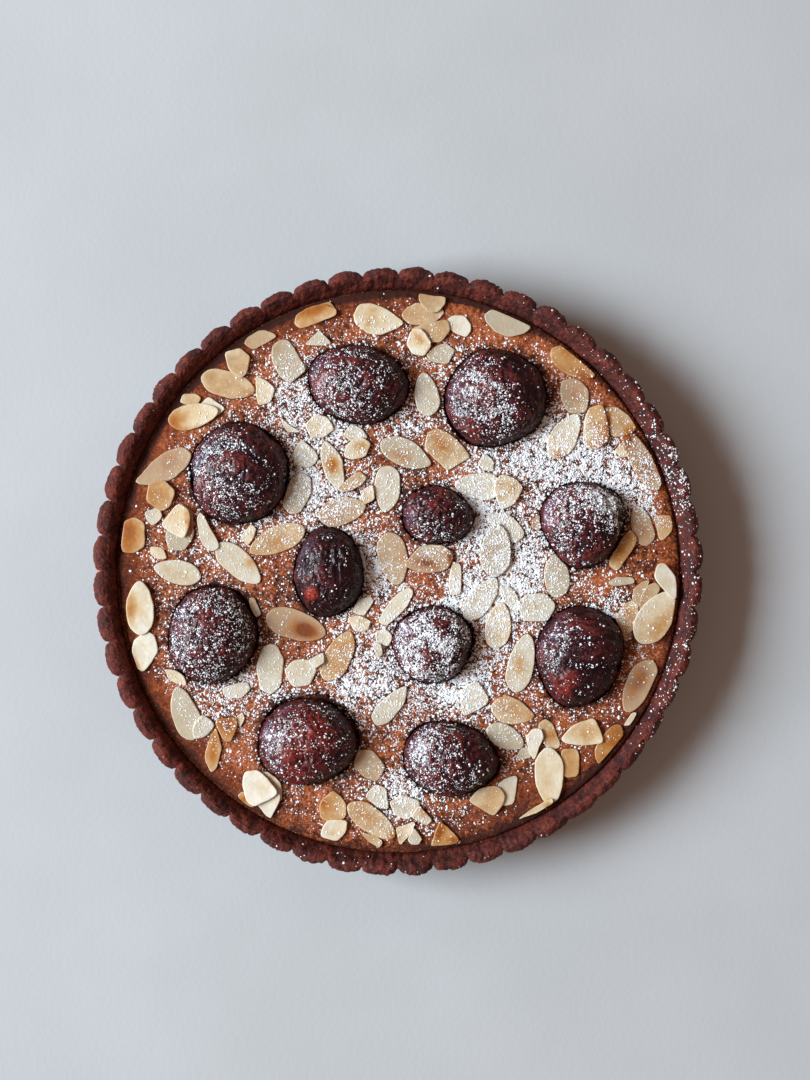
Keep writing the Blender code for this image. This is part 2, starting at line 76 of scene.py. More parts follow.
def scrambled(cells: Array, seed: int) -> Array:
    """Repeatable whole numbers from 0 to 65535.

    Args:
        cells: Whole numbers, one row of three for each cell.
        seed: Picks another pattern.

    Returns:
        One number for each row.
    """
    mixed = cells[:, 0] * 73856093 ^ cells[:, 1] * 19349663 ^ cells[:, 2] * 83492791 ^ (seed + 7) * 40503
    mixed = (mixed ^ (mixed >> 13)) * 1274126177
    mixed = mixed ^ (mixed >> 15)
    return mixed & 65535


def noise(places: Array, grain: float, seed: int) -> Array:
    """Smooth noise from about -1 to 1.

    Args:
        places: One row of three for each place.
        grain: How wide the lumps are.
        seed: Picks another pattern.

    Returns:
        One value for each place.
    """
    scaled = places / grain
    corner = np.floor(scaled)
    part = scaled - corner
    corner = corner.astype(np.int64)
    fade = part**3 * (part * (part * 6.0 - 15.0) + 10.0)
    total = np.zeros(len(places))
    for step in map(np.array, np.ndindex(2, 2, 2)):
        slope = GRADIENTS[scrambled(corner + step, seed) & 255]
        weight = np.prod(np.where(step == 1, fade, 1.0 - fade), axis=1)
        total += weight * ((part - step) * slope).sum(axis=1)
    return total * 1.7


def rough(places: Array, grain: float, seed: int) -> Array:
    """Noise with noise half as wide and half as high on it."""
    return noise(places, grain, seed) + noise(places, grain / 2.0, seed + 11) / 2.0


def step_up(values: Array, low: float, high: float) -> Array:
    """0 below low, 1 above high, and a smooth rise between them."""
    share = np.clip((values - low) / (high - low), 0.0, 1.0)
    return share * share * (3.0 - 2.0 * share)


def hills_at(flat: Array, hills: Hills, start: float | Array) -> Array:
    """A sum of smooth round hills.

    Args:
        flat: Places (x, y).
        hills: The hills.
        start: What they are added to.

    Returns:
        One value for each place.
    """
    total = np.zeros(len(flat)) + start
    for x, y, spread, height in hills:
        total += height * np.exp(-0.5 * ((flat[:, 0] - x) ** 2 + (flat[:, 1] - y) ** 2) / spread**2)
    return total


def swells_at(turn_deg: Array, swells: Swells, start: float = 0.0) -> Array:
    """A sum of smooth hills by direction.

    Args:
        turn_deg: Directions.
        swells: The hills.
        start: What they are added to.

    Returns:
        One value for each direction.
    """
    total = np.full(len(turn_deg), start)
    for direction, spread, height in swells:
        away = (turn_deg - direction + 180.0) % 360.0 - 180.0
        total += height * np.exp(-0.5 * (away / spread) ** 2)
    return total


def directions(flat: Array) -> Array:
    """Directions of places (x, y) from the middle, in degrees."""
    return np.degrees(np.arctan2(flat[:, 1], flat[:, 0]))


def turned(flat: Array, x: float, y: float, turn_deg: float) -> tuple[Array, Array]:
    """How far places (x, y) are from a middle along a direction, and across it.

    Args:
        flat: The places.
        x: The middle's x.
        y: The middle's y.
        turn_deg: The direction.

    Returns:
        The two distances.
    """
    turn = math.radians(turn_deg)
    right, up = flat[:, 0] - x, flat[:, 1] - y
    return right * math.cos(turn) + up * math.sin(turn), up * math.cos(turn) - right * math.sin(turn)


def on_curve(corners: Sequence[Array], share: float) -> Array:
    """A place on a smooth curve through corners.

    Args:
        corners: Four corners in a row.
        share: How far the place is from the second corner to the third, from 0 to 1.

    Returns:
        The place.
    """
    p0, p1, p2, p3 = corners
    bend = (2 * p0 - 5 * p1 + 4 * p2 - p3) * share**2
    return 0.5 * (2 * p1 + (p2 - p0) * share + bend + (3 * p1 - 3 * p2 + p3 - p0) * share**3)


def upright(flat: Array, height: Array | float = 0.0) -> Array:
    """Adds heights to places that have only x and y."""
    return np.column_stack((flat, np.broadcast_to(height, len(flat))))


def even_disc(rings: int) -> tuple[Array, Array]:
    """A disc of radius 1 made of even triangles.

    Args:
        rings: How many rings it has; ring k has 6k places.

    Returns:
        Its places (x, y), with the edge last, and its triangles.
    """
    places = [np.zeros((1, 2))]
    faces = []
    first_inner = 0
    first_outer = 1
    for ring in range(1, rings + 1):
        count = 6 * ring
        along = np.arange(count)
        turns = along * (math.tau / count)
        places.append(np.column_stack((np.cos(turns), np.sin(turns))) * (ring / rings))
        inner_count = max(1, 6 * (ring - 1))
        side = along // ring
        step = along - side * ring
        inner = first_inner + (side * (ring - 1) + step) % inner_count
        inner_next = first_inner + (side * (ring - 1) + step + 1) % inner_count
        outer = first_outer + along
        outer_next = first_outer + (along + 1) % count
        faces.append(np.column_stack((inner, outer, outer_next)))
        faces.append(np.column_stack((inner, outer_next, inner_next))[step < ring - 1])
        first_inner = first_outer
        first_outer += count
    return np.vstack(places), np.vstack(faces)


def band(upper: Array, lower: Array) -> Array:
    """Triangles between two rings of as many places, facing outwards where the first ring is on top.

    Args:
        upper: Numbers of one ring's places.
        lower: Numbers of the other ring's places.

    Returns:
        Three numbers of places for each triangle.
    """
    upper_next, lower_next = np.roll(upper, -1), np.roll(lower, -1)
    halves = ((lower, lower_next, upper_next), (lower, upper_next, upper))
    return np.vstack([np.column_stack(half) for half in halves])


def bands(rings: Array, rising: bool = False) -> list[Array]:
    """Triangles between each ring and the next, which lies below it, or above it where they rise."""
    pairs = zip(rings[1:], rings) if rising else zip(rings, rings[1:])
    return [band(upper, lower) for upper, lower in pairs]


def fan(ring: Array, middle: int, upward: bool) -> Array:
    """Triangles that close a ring to one place, facing up or down.

    Args:
        ring: Numbers of the ring's places.
        middle: Number of the one place.
        upward: Whether the triangles face up.

    Returns:
        Three numbers of places for each triangle.
    """
    after = np.roll(ring, -1)
    first, second = (ring, after) if upward else (after, ring)
    return np.column_stack((first, second, np.full(len(ring), middle)))


def face_normals(places: Array, faces: Array) -> Array:
    """Directions of triangles, each as long as twice its area."""
    corners = places[faces]
    return np.cross(corners[:, 1] - corners[:, 0], corners[:, 2] - corners[:, 0])


def grid_normals(places: Array) -> Array:
    """Outward directions on rings of places.

    Args:
        places: Rings from the foot up and over, each of as many places, anticlockwise from above.

    Returns:
        A unit direction for each place.
    """
    along = np.roll(places, -1, axis=1) - np.roll(places, 1, axis=1)
    across = np.gradient(places, axis=0)
    normals = np.cross(along, across)
    return normals / np.maximum(np.linalg.norm(normals, axis=2), 1e-9)[..., None]


def inside_outline(flat: Array, outline: Array) -> Array:
    """Which places (x, y) lie inside a closed outline.

    Args:
        flat: Places (x, y).
        outline: The outline's places (x, y) in order.

    Returns:
        True for each place inside.
    """
    inside = np.zeros(len(flat), bool)
    x, y = flat.T
    for (x0, y0), (x1, y1) in zip(outline, np.roll(outline, -1, axis=0)):
        if y0 == y1:
            continue
        inside ^= ((y0 > y) != (y1 > y)) & (x < (x1 - x0) * (y - y0) / (y1 - y0) + x0)
    return inside


# ---------------- meshes


def in_scene(name: str, data: bpy.types.ID) -> Piece:
    """Makes an object and puts it in the scene.

    Args:
        name: The object's name.
        data: Its mesh, camera or light.

    Returns:
        The object.
    """
    made = bpy.data.objects.new(name, data)
    bpy.context.scene.collection.objects.link(made)
    return made


def read_places(made: Piece) -> Array:
    """The places of an object's mesh, in metres.

    Args:
        made: The object.

    Returns:
        One row (x, y, z) for each place.
    """
    places = np.empty(len(made.data.vertices) * 3, np.float32)
    made.data.vertices.foreach_get("co", places)
    return places.reshape(-1, 3).astype(float)


def write_places(made: Piece, places: Array) -> None:
    """Sets the places of an object's mesh, in metres."""
    made.data.vertices.foreach_set("co", places.astype(np.float32).ravel())
    made.data.update()


def read_mask(made: Piece, name: str) -> Array:
    """A mask of an object's mesh.

    Args:
        made: The object.
        name: The mask's name.

    Returns:
        One value for each place.
    """
    values = np.empty(len(made.data.vertices), np.float32)
    made.data.attributes[name].data.foreach_get("value", values)
    return values.astype(float)


def add_mask(made: Piece, name: str, values: Array) -> None:
    """Adds a mask to an object's mesh."""
    layer = made.data.attributes.new(name, "FLOAT", "POINT")
    layer.data.foreach_set("value", values.astype(np.float32))


class Shape:
    """Places, triangles and masks of a piece, gathered part by part in millimetres."""

    def __init__(self) -> None:
        """Starts empty."""
        self.places: list[Array] = []
        self.faces: list[Array] = []
        self.masks: dict[str, list[Array]] = {}
        self.count = 0

    def add(self, places: Array, faces: Array, **masks: Array | float) -> Shape:
        """Adds a part.

        Args:
            places: Its places.
            faces: Its triangles, counted from its own first place.
            masks: A value or a value for each place, under the name that the finish reads.

        Returns:
            This shape.
        """
        for name in set(self.masks) | set(masks):
            before = self.masks.setdefault(name, [np.zeros(self.count)] if self.count else [])
            before.append(np.array(np.broadcast_to(masks.get(name, 0.0), len(places)), float))
        self.places.append(places)
        self.faces.append(faces + self.count)
        self.count += len(places)
        return self

    def made(self, name: str, material: Material | None = None) -> Piece:
        """Makes the object, in metres.

        Args:
            name: The piece's name.
            material: Its finish.

        Returns:
            The new object, in the scene.
        """
        places = np.vstack(self.places) * MM
        faces = np.vstack(self.faces).astype(np.int32)
        mesh = bpy.data.meshes.new(name)
        mesh.vertices.add(len(places))
        mesh.vertices.foreach_set("co", places.astype(np.float32).ravel())
        mesh.loops.add(faces.size)
        mesh.loops.foreach_set("vertex_index", faces.ravel())
        mesh.polygons.add(len(faces))
        mesh.polygons.foreach_set("loop_start", np.arange(len(faces), dtype=np.int32) * 3)
        mesh.update(calc_edges=True)
        mesh.validate()
        mesh.shade_smooth()
        if material:
            mesh.materials.append(material)
        made = in_scene(name, mesh)
        for mask, parts in self.masks.items():
            add_mask(made, mask, np.concatenate(parts))
        return made


# ---------------- nodes


class Wire:
    """A node's output that Python's operators work on by adding Math nodes."""

    def __init__(self, tree: Tree, socket: bpy.types.NodeSocket) -> None:
        """Keeps the tree and the socket."""
        self.tree = tree
        self.socket = socket

    def math(self, operation: str, *others: Wire | float) -> Wire:
        """Adds a Math node with this value first."""
        return self.tree.wire("ShaderNodeMath", dict(enumerate((self, *others))), operation=operation)

    def __add__(self, other: Wire | float) -> Wire:
        """This plus other."""
        return self.math("ADD", other)

    __radd__ = __add__

    def __mul__(self, other: Wire | float) -> Wire:
        """This times other."""
        return self.math("MULTIPLY", other)

    __rmul__ = __mul__

    def __sub__(self, other: Wire | float) -> Wire:
        """This less other."""
        return self.math("SUBTRACT", other)

    def __rsub__(self, other: float) -> Wire:
        """Other less this."""
        return self.tree.wire("ShaderNodeMath", {0: other, 1: self}, operation="SUBTRACT")

    def __truediv__(self, other: Wire | float) -> Wire:
        """This over other."""
        return self.math("DIVIDE", other)

    def __pow__(self, other: float) -> Wire:
        """This to a power."""
        return self.math("POWER", other)

    def __abs__(self) -> Wire:
        """This without its sign."""
        return self.math("ABSOLUTE")

    def clamped(self) -> Wire:
        """This, kept between 0 and 1."""
        return self.tree.wire("ShaderNodeClamp", {0: self})

    def rise(self, low: float, high: float) -> Wire:
        """0 below low, 1 above high, smooth between."""
        values = {"Value": self, "From Min": low, "From Max": high}
        return self.tree.wire("ShaderNodeMapRange", values, interpolation_type="SMOOTHSTEP")


class Tree:
    """A node tree that nodes are added to."""

    def __init__(self, made: bpy.types.NodeTree) -> None:
        """Keeps the tree."""
        self.made = made

    def node(self, kind: str, values: Values | None = None, **settings: str) -> bpy.types.Node:
        """Adds a node.

        Args:
            kind: The node's type.
            values: Values or wires for its sockets.
            settings: Its own settings, which are set first.

        Returns:
            The node.
        """
        node = self.made.nodes.new(kind)
        for name, value in settings.items():
            setattr(node, name, value)
        for key, value in (values or {}).items():
            if isinstance(value, Wire):
                self.made.links.new(value.socket, node.inputs[key])
            else:
                node.inputs[key].default_value = value
        return node

    def wire(self, kind: str, values: Values | None = None, output: str | int = 0, **settings: str) -> Wire:
        """Adds a node and gives one of its outputs."""
        return Wire(self, self.node(kind, values, **settings).outputs[output])


class MeshTree(Tree):
    """A tree of geometry nodes that a mesh and named values go into and that a dressed mesh comes out of."""

    def __init__(self, name: str, inputs: dict[str, str]) -> None:
        """Starts the tree.

        Args:
            name: Its name.
            inputs: The types of its inputs after the mesh, by name.
        """
        super().__init__(bpy.data.node_groups.new(name, "GeometryNodeTree"))
        sockets = self.made.interface
        for title, kind in ({"Geometry": "Geometry"} | inputs).items():
            sockets.new_socket(title, in_out="INPUT", socket_type=f"NodeSocket{kind}")
        sockets.new_socket("Geometry", in_out="OUTPUT", socket_type="NodeSocketGeometry")
        outputs = self.node("NodeGroupInput").outputs
        self.given = [Wire(self, outputs[index]) for index in range(len(inputs) + 1)]

    def mask(self, name: str) -> Wire:
        """The value of a mask on the mesh."""
        return self.wire("GeometryNodeInputNamedAttribute", {"Name": name}, data_type="FLOAT")

    def finish(self, mesh: Wire, material: Material) -> None:
        """Makes instances real, dresses the mesh and gives it out.

        Args:
            mesh: The mesh or the instances.
            material: The finish that it gets.
        """
        solid = self.wire("GeometryNodeRealizeInstances", {0: mesh})
        dressed = self.wire("GeometryNodeSetMaterial", {"Geometry": solid, "Material": material})
        self.node("NodeGroupOutput", {0: dressed})

    def run(self, source: Piece, inputs: dict[str, float], name: str) -> Piece:
        """Runs a mesh through the tree and makes the result plain.

        Args:
            source: The object whose mesh goes in; it is removed.
            inputs: Values of the named inputs.
            name: The name of the result.

        Returns:
            The result, as an object with no modifiers.
        """
        modifier = source.modifiers.new("nodes", "NODES")
        modifier.node_group = self.made
        for item in self.made.interface.items_tree:
            if item.item_type == "SOCKET" and item.in_out == "INPUT" and item.name in inputs:
                modifier[item.identifier] = inputs[item.name]
        source.update_tag()
        bpy.context.view_layer.update()
        graph = bpy.context.evaluated_depsgraph_get()
        mesh = bpy.data.meshes.new_from_object(source.evaluated_get(graph), depsgraph=graph)
        bpy.data.objects.remove(source)
        mesh.name = name
        return in_scene(name, mesh)


class Finish:
    """A material in the making: its tree, its shader and the place on the piece."""

    def __init__(self, name: str, **constants: float) -> None:
        """Starts a material.

        Args:
            name: The material's name.
            constants: Values of the shader's own sockets, with _ for a space.
        """
        self.material = bpy.data.materials.new(name)
        self.material.use_nodes = True
        self.tree = Tree(self.material.node_tree)
        self.tree.made.nodes.clear()
        sockets = {key.replace("_", " "): value for key, value in constants.items()}
        self.shader = self.tree.node("ShaderNodeBsdfPrincipled", sockets)
        self.tree.node("ShaderNodeOutputMaterial", {"Surface": Wire(self.tree, self.shader.outputs[0])})
        self.place = self.tree.wire("ShaderNodeTexCoord", None, "Object")

    def mask(self, name: str) -> Wire:
        """The value of a mask on the mesh."""
        return self.tree.wire("ShaderNodeAttribute", None, "Fac", attribute_name=name)

    def noise(self, grain: float, detail: float) -> Wire:
        """Noise from 0 to 1 with lumps about grain millimetres wide."""
        values = {"Vector": self.place, "Scale": 1.0 / (grain * MM), "Detail": detail, "Roughness": 0.55}
        return self.tree.wire("ShaderNodeTexNoise", values, "Fac")

    def mix(self, share: Wire, first: Wire | Colour, second: Colour) -> Wire:
        """Mixes two colours."""
        first = first if isinstance(first, Wire) else (*first, 1.0)
        return self.tree.wire("ShaderNodeMix", {0: share, 6: first, 7: (*second, 1.0)}, 2, data_type="RGBA")

    def feed(self, socket: str, wire: Wire) -> None:
        """Links a wire to one of the shader's sockets."""
        self.tree.made.links.new(wire.socket, self.shader.inputs[socket])

    def bump(self, height: Wire, depth: float, strength: float) -> None:
        """Gives the shader a bump of a depth in millimetres."""
        values = {"Strength": strength, "Distance": depth * MM, "Height": height}
        self.feed("Normal", self.tree.wire("ShaderNodeBump", values))

    def dusted(self, colour: Wire, weight: float, white: Colour = SUGAR_WHITE) -> Wire:
        """Mixes the finest sugar into a colour where the dust mask is high, as small sharp spots.

        Args:
            colour: The colour below.
            weight: How much the dust mask counts.
            white: The sugar's colour.

        Returns:
            The mixed colour.
        """
        dust = self.mask("dust") * weight
        fine = self.noise(1.15, 2.0)
        broad = self.noise(3.6, 1.0)
        cover = (fine + (broad - 0.5) * 0.4 + dust * 0.23).rise(0.775, 0.825)
        return self.mix(cover * 0.95, colour, white)


# ---------------- finishes


@dataclass(frozen=True)
class CrustFinish:
    """Dry cocoa shortcrust."""

    dark: Colour = (0.031, 0.0128, 0.0125)
    light: Colour = (0.152, 0.0285, 0.02)
    bloom: Colour = (0.25, 0.058, 0.035)
    roughness: float = 0.55

    def material(self) -> Material:
        """Makes the material.

        Returns:
            The material.
        """
        finish = Finish("crust_finish", Roughness=self.roughness, Specular_IOR_Level=0.12)
        relief = finish.mask("relief")
        crumb = finish.noise(0.6, 3.0)
        blotch = finish.noise(5.0, 2.0)
        # Painted shade and highlight: the relief mask makes raised crumbs lighter and cracks and hollows
        # darker, over the crust's own mottling; it is also lowered for painted shade on the rim's lit inner
        # side.
        colour = finish.mix((crumb * 0.8 + relief * 0.6 + blotch * 0.3).rise(0.35, 1.3), self.dark, self.light)
        spots = (crumb + blotch * 0.5 + relief * 0.3).rise(0.85, 1.15)
        colour = finish.mix(spots * 0.4, colour, self.bloom)
        finish.feed("Base Color", finish.dusted(colour, 0.85))
        finish.bump(finish.noise(0.7, 4.0), 0.4, 1.0)
        return finish.material


@dataclass(frozen=True)
class FillingFinish:
    """Baked almond filling, golden brown with a grainy top."""

    pale: Colour = (0.45, 0.115, 0.029)
    brown: Colour = (0.205, 0.037, 0.01)
    dark: Colour = (0.04, 0.0075, 0.0035)
    crumb: Colour = (0.57, 0.225, 0.105)
    roughness: float = 0.55

    def material(self) -> Material:
        """Makes the material.

        Returns:
            The material.
        """
        finish = Finish("filling_finish", Roughness=self.roughness, Specular_IOR_Level=0.28)
        # The stain mask holds the filling's own stains together with painted shade and painted light.
        stain = finish.mask("stain")
        relief = finish.mask("relief")
        smooth = finish.mask("smooth")
        grain = finish.noise(0.95, 4.0)
        blotch = finish.noise(7.0, 2.0)
        paste = grain * 1.1 + blotch * 0.5 - smooth * 0.12
        colour = finish.mix(paste.rise(0.6, 1.05), self.brown, self.pale)
        # Painted shade: the dark colour fills low places of the relief, and the stain mask brings its stains,
        # painted shade and painted light; noise adds random dark pits.
        pitted = (stain * 1.6 + 0.72).clamped() * (1.0 - smooth * 0.7)
        hollow = stain + pitted * ((0.5 - relief) * 1.1 + (0.5 - grain) * 2.6 + (0.5 - blotch) * 0.8)
        colour = finish.mix(hollow.rise(-0.15, 0.85), colour, self.dark)
        crumb = (finish.noise(0.8, 2.0) - stain * 0.2).rise(0.58, 0.7)
        colour = finish.mix(crumb * 0.75, colour, self.crumb)
        finish.feed("Base Color", finish.dusted(colour, 1.3))
        finish.feed("Roughness", smooth * 0.35 + self.roughness)
        finish.bump(finish.noise(0.7, 3.0), 0.3, 0.8)
        return finish.material


@dataclass(frozen=True)
class AlmondFinish:
    """Toasted flaked almonds, from cream to brown."""

    toasts: tuple[tuple[float, Colour], ...] = (
        (0.0, (0.75, 0.67, 0.55)),
        (0.25, (0.66, 0.5, 0.31)),
        (0.5, (0.5, 0.268, 0.103)),
        (0.75, (0.39, 0.12, 0.012)),
        (1.0, (0.19, 0.045, 0.012)),
    )
    grey: Colour = (0.44, 0.37, 0.275)
    # The pale edge: partly the almond's own, partly painted highlight where the thin edge catches light.
    edge: Colour = (0.8, 0.72, 0.56)
    glint: Colour = (0.5, 0.22, 0.06)
    roughness: float = 0.42

    def material(self) -> Material:
        """Makes the material.

        Returns:
            The material.
        """
        finish = Finish("almond_finish", Roughness=self.roughness, Specular_IOR_Level=0.4)
        fibre = finish.noise(1.6, 3.0)
        blotch = finish.noise(4.0, 2.0)
        tone = finish.mask("tone") + (blotch - 0.5) * 0.4 + (fibre - 0.5) * 0.2
        start, colour = self.toasts[0]
        for end, toast in self.toasts[1:]:
            colour = finish.mix(((tone - start) / (end - start)).clamped(), colour, toast)
            start = end
        veil = (finish.mask("grey") + (blotch - 0.5) * 0.5).clamped()
        colour = finish.mix(veil, colour, self.grey)
        # Pale edge: partly the almond's own, partly painted highlight where the thin edge catches light.
        rim = (finish.mask("rim") + (fibre - 0.5) * 0.5).rise(0.3, 0.9)
        colour = finish.mix(rim * (1.05 - tone).clamped() * 0.7, colour, self.edge)
        colour = finish.mix(finish.mask("brink"), colour, self.glint)
        finish.feed("Base Color", finish.dusted(colour, 0.9))
        finish.bump(fibre, 0.18, 0.7)
        return finish.material


@dataclass(frozen=True)
class ChestnutFinish:
    """Syrupy dark chestnut, maroon where the light gets in."""

    name: str
    dark: Colour = (0.0145, 0.0018, 0.0038)
    maroon: Colour = (0.09, 0.012, 0.0135)
    # Painted highlight on the wrinkles' ridges.
    ridge: Colour = (0.21, 0.034, 0.022)
    # Painted sheen: the window's reflection on the left flanks.
    sheen: Colour = (0.21, 0.125, 0.22)
    red: Colour = (0.24, 0.02, 0.01)
    film: Colour = (0.21, 0.085, 0.105)
    frost: Colour = (0.72, 0.64, 0.69)
    roughness: float = 0.3

    def material(self) -> Material:
        """Makes the material.

        Returns:
            The material.
        """
        finish = Finish(self.name, Roughness=self.roughness, Specular_IOR_Level=0.2, Coat_Roughness=0.15)
        fold = finish.mask("fold")
        side = finish.mask("side")
        gloss = finish.mask("sheen")
        speckle = finish.noise(1.0, 3.0)
        blotch = finish.noise(5.0, 2.0)
        # Painted shade: darker in the wrinkles' hollows and, through the fold mask, on the side away from the
        # window.
        colour = finish.mix((fold + speckle * 1.3 + blotch * 0.3).rise(0.95, 1.7), self.dark, self.maroon)
        # Painted highlight on the wrinkles' ridges, except on the steep sides.
        ridge = (fold * 0.9 + speckle * 1.1 + blotch * 0.3).rise(1.2, 1.7)
        colour = finish.mix(ridge * (1.0 - side) * 0.7, colour, self.ridge)
        red = (finish.mask("red") + (blotch - 0.5) * 0.7 + (speckle - 0.5) * 0.5).rise(0.25, 1.0)
        colour = finish.mix(red, colour, self.red)
        # Painted sheen: the window's reflection on the left flanks, mixed into the colour; the same mask also
        # sets the coat.
        sheen = (gloss + (speckle - 0.5) * 1.2 + (blotch - 0.5) * 0.6).rise(0.25, 1.1)
        colour = finish.mix(sheen * 0.6, colour, self.sheen)
        film = (finish.noise(0.75, 2.0) + finish.mask("dust") * 0.1).rise(0.58, 0.7)
        colour = finish.mix(film * (0.75 - side * 0.5) * 0.3, colour, self.film)
        finish.feed("Base Color", finish.dusted(colour, 0.8, self.frost))
        finish.feed("Roughness", speckle.rise(0.35, 0.75) * 0.28 + (self.roughness - 0.08) + side * 0.3)
        finish.feed("Coat Weight", (gloss * 0.65 + 0.16) * (1.0 - side * 0.6))
        finish.bump(finish.noise(1.1, 4.0), 0.5, 0.9)
        return finish.material


@dataclass(frozen=True)
class SugarFinish:
    """Powdered sugar."""

    roughness: float = 0.7
    shaded: Colour = (0.82, 0.83, 0.86)
    bright: Colour = (0.92, 0.92, 0.93)

    def material(self) -> Material:
        """Makes the material.

        Returns:
            The material.
        """
        finish = Finish("sugar_finish", Roughness=self.roughness)
        shade = finish.noise(1.5, 1.0)
        finish.feed("Base Color", finish.mix(shade.rise(0.3, 0.7), self.shaded, self.bright))
        return finish.material


@dataclass(frozen=True)
class FloorFinish:
    """Plain pale table top with a faint grain."""

    first: Colour = (0.465, 0.468, 0.475)
    second: Colour = (0.497, 0.498, 0.511)
    roughness: float = 0.75

    def material(self) -> Material:
        """Makes the material.

        Returns:
            The material.
        """
        finish = Finish("floor_finish", Roughness=self.roughness, Specular_IOR_Level=0.2)
        cloud = finish.noise(90.0, 3.0)
        finish.feed("Base Color", finish.mix(cloud.rise(0.3, 0.7), self.first, self.second))
        finish.bump(finish.noise(2.2, 3.0), 0.2, 0.35)
        return finish.material


# ---------------- sugar drifts


@dataclass
class Drifts:
    """Where the powdered sugar fell: a base amount, hills of more or less, and less at the left rim."""

    base: float = 0.34
    left_rim: float = 0.2
    unevenness: float = 0.1
    hills: Hills = (
        (48, 5, 13, 0.52), (45, -12, 10, 0.4), (36, 20, 8, 0.35), (30, 35, 8, 0.35), (44, 43, 9, 0.3),
        (60, 47, 10, 0.45), (78, 41, 10, 0.5), (92, 31, 8, 0.35), (60, 28, 7, 0.15), (31, 0, 7, 0.15),
        (27, -11, 6, 0.25), (-15, -44, 10, 0.5), (-2, -37, 9, 0.2), (-4, -21, 8, 0.18), (14, -23, 8, 0.3),
        (-20, -21, 6, 0.2), (0, -53, 7, 0.05), (14, -48, 8, 0.3), (29, -49, 7, 0.55), (38, -31, 7, 0.25),
        (48, -42, 6, 0.2), (42, -64, 6, 0.2), (53, -70, 5, 0.15), (0, -89, 8, 0.6), (7, -97, 5, 0.08),
        (-66, -48, 8, 0.35), (-50, -45, 7, 0.18), (-38, -40, 7, 0.02), (-78, -60, 6, 0.25), (-85, -42, 6, 0.2),
        (-42, 67, 9, 0.4), (-32, 56, 8, 0.22), (-37, 41, 8, 0.5), (-44, 80, 6, 0.2), (-20, 53, 6, 0.3),
        (-36, 25, 8, 0.3), (-22, 24, 8, 0.25), (-46, 16, 6, 0.2), (-9, 32, 7, 0.25), (-28, 36, 7, 0.2),
        (-62, 10, 6, 0.2), (-76, 12, 6, 0.15), (-13, 10, 5, 0.25), (-5, -3, 6, 0.3), (-15, 1, 7, 0.5),
        (-45, -3, 6, -0.2), (26, -41, 6, 0.3), (-42, -52, 5, 0.25), (-20, -62, 6, 0.05), (100, 24, 6, 0.35),
        (68, 60, 7, 0.15), (26, 24, 6, 0.4), (84, 52, 5, 0.1), (39, -18, 4, 0.4), (84, -16, 6, 0.4),
        (84, -38, 5, 0.2), (24, -14, 5, 0.45), (-26, 41, 3.5, -0.5), (-36, -23, 5, -0.2), (16, 10, 6, 0.4),
        (10, 62, 7, 0.3), (2, 53, 6, 0.25), (20, 82, 8, 0.2), (24, 96, 5, 0.1), (-28, 88, 5, 0.1),
        (102, 42, 8, 0.12), (113, 40, 9, 0.35), (114, -45, 9, 0.2), (-104, 40, 14, -0.12),
        (-60, -92, 16, -0.14), (68, -87, 12, -0.36), (50, -93, 6, -0.15), (65, 55, 6, 0.2),
        (28, 101, 8, -0.28), (103, 5, 8, -0.3), (52, 92, 9, -0.12), (-72, 86, 14, -0.14),
        (-98, -62, 12, -0.14), (90, -48, 9, -0.12), (-104, -10, 9, -0.14), (36, -100, 12, -0.12),
    )

    def amount(self, flat: Array) -> Array:
        """How much sugar lies at each place (x, y), from 0 to about 1.

        Args:
            flat: Places (x, y).

        Returns:
            The amounts.
        """
        total = hills_at(flat, self.hills, self.base)
        left = step_up(0.3 * flat[:, 1] - flat[:, 0], -10.0, 60.0)
        total -= self.left_rim * left * step_up(np.hypot(*flat.T), 99.0, 106.0)
        return np.clip(total + self.unevenness * noise(upright(flat), 9.0, 71), 0.0, 1.0)


DRIFTS = Drifts()


# ---------------- chestnuts


class Wrinkles(Enum):
    """How a chestnut's skin is wrinkled."""

    LENGTHWISE = "lengthwise"
    CROSSWISE = "crosswise"
    PEBBLED = "pebbled"


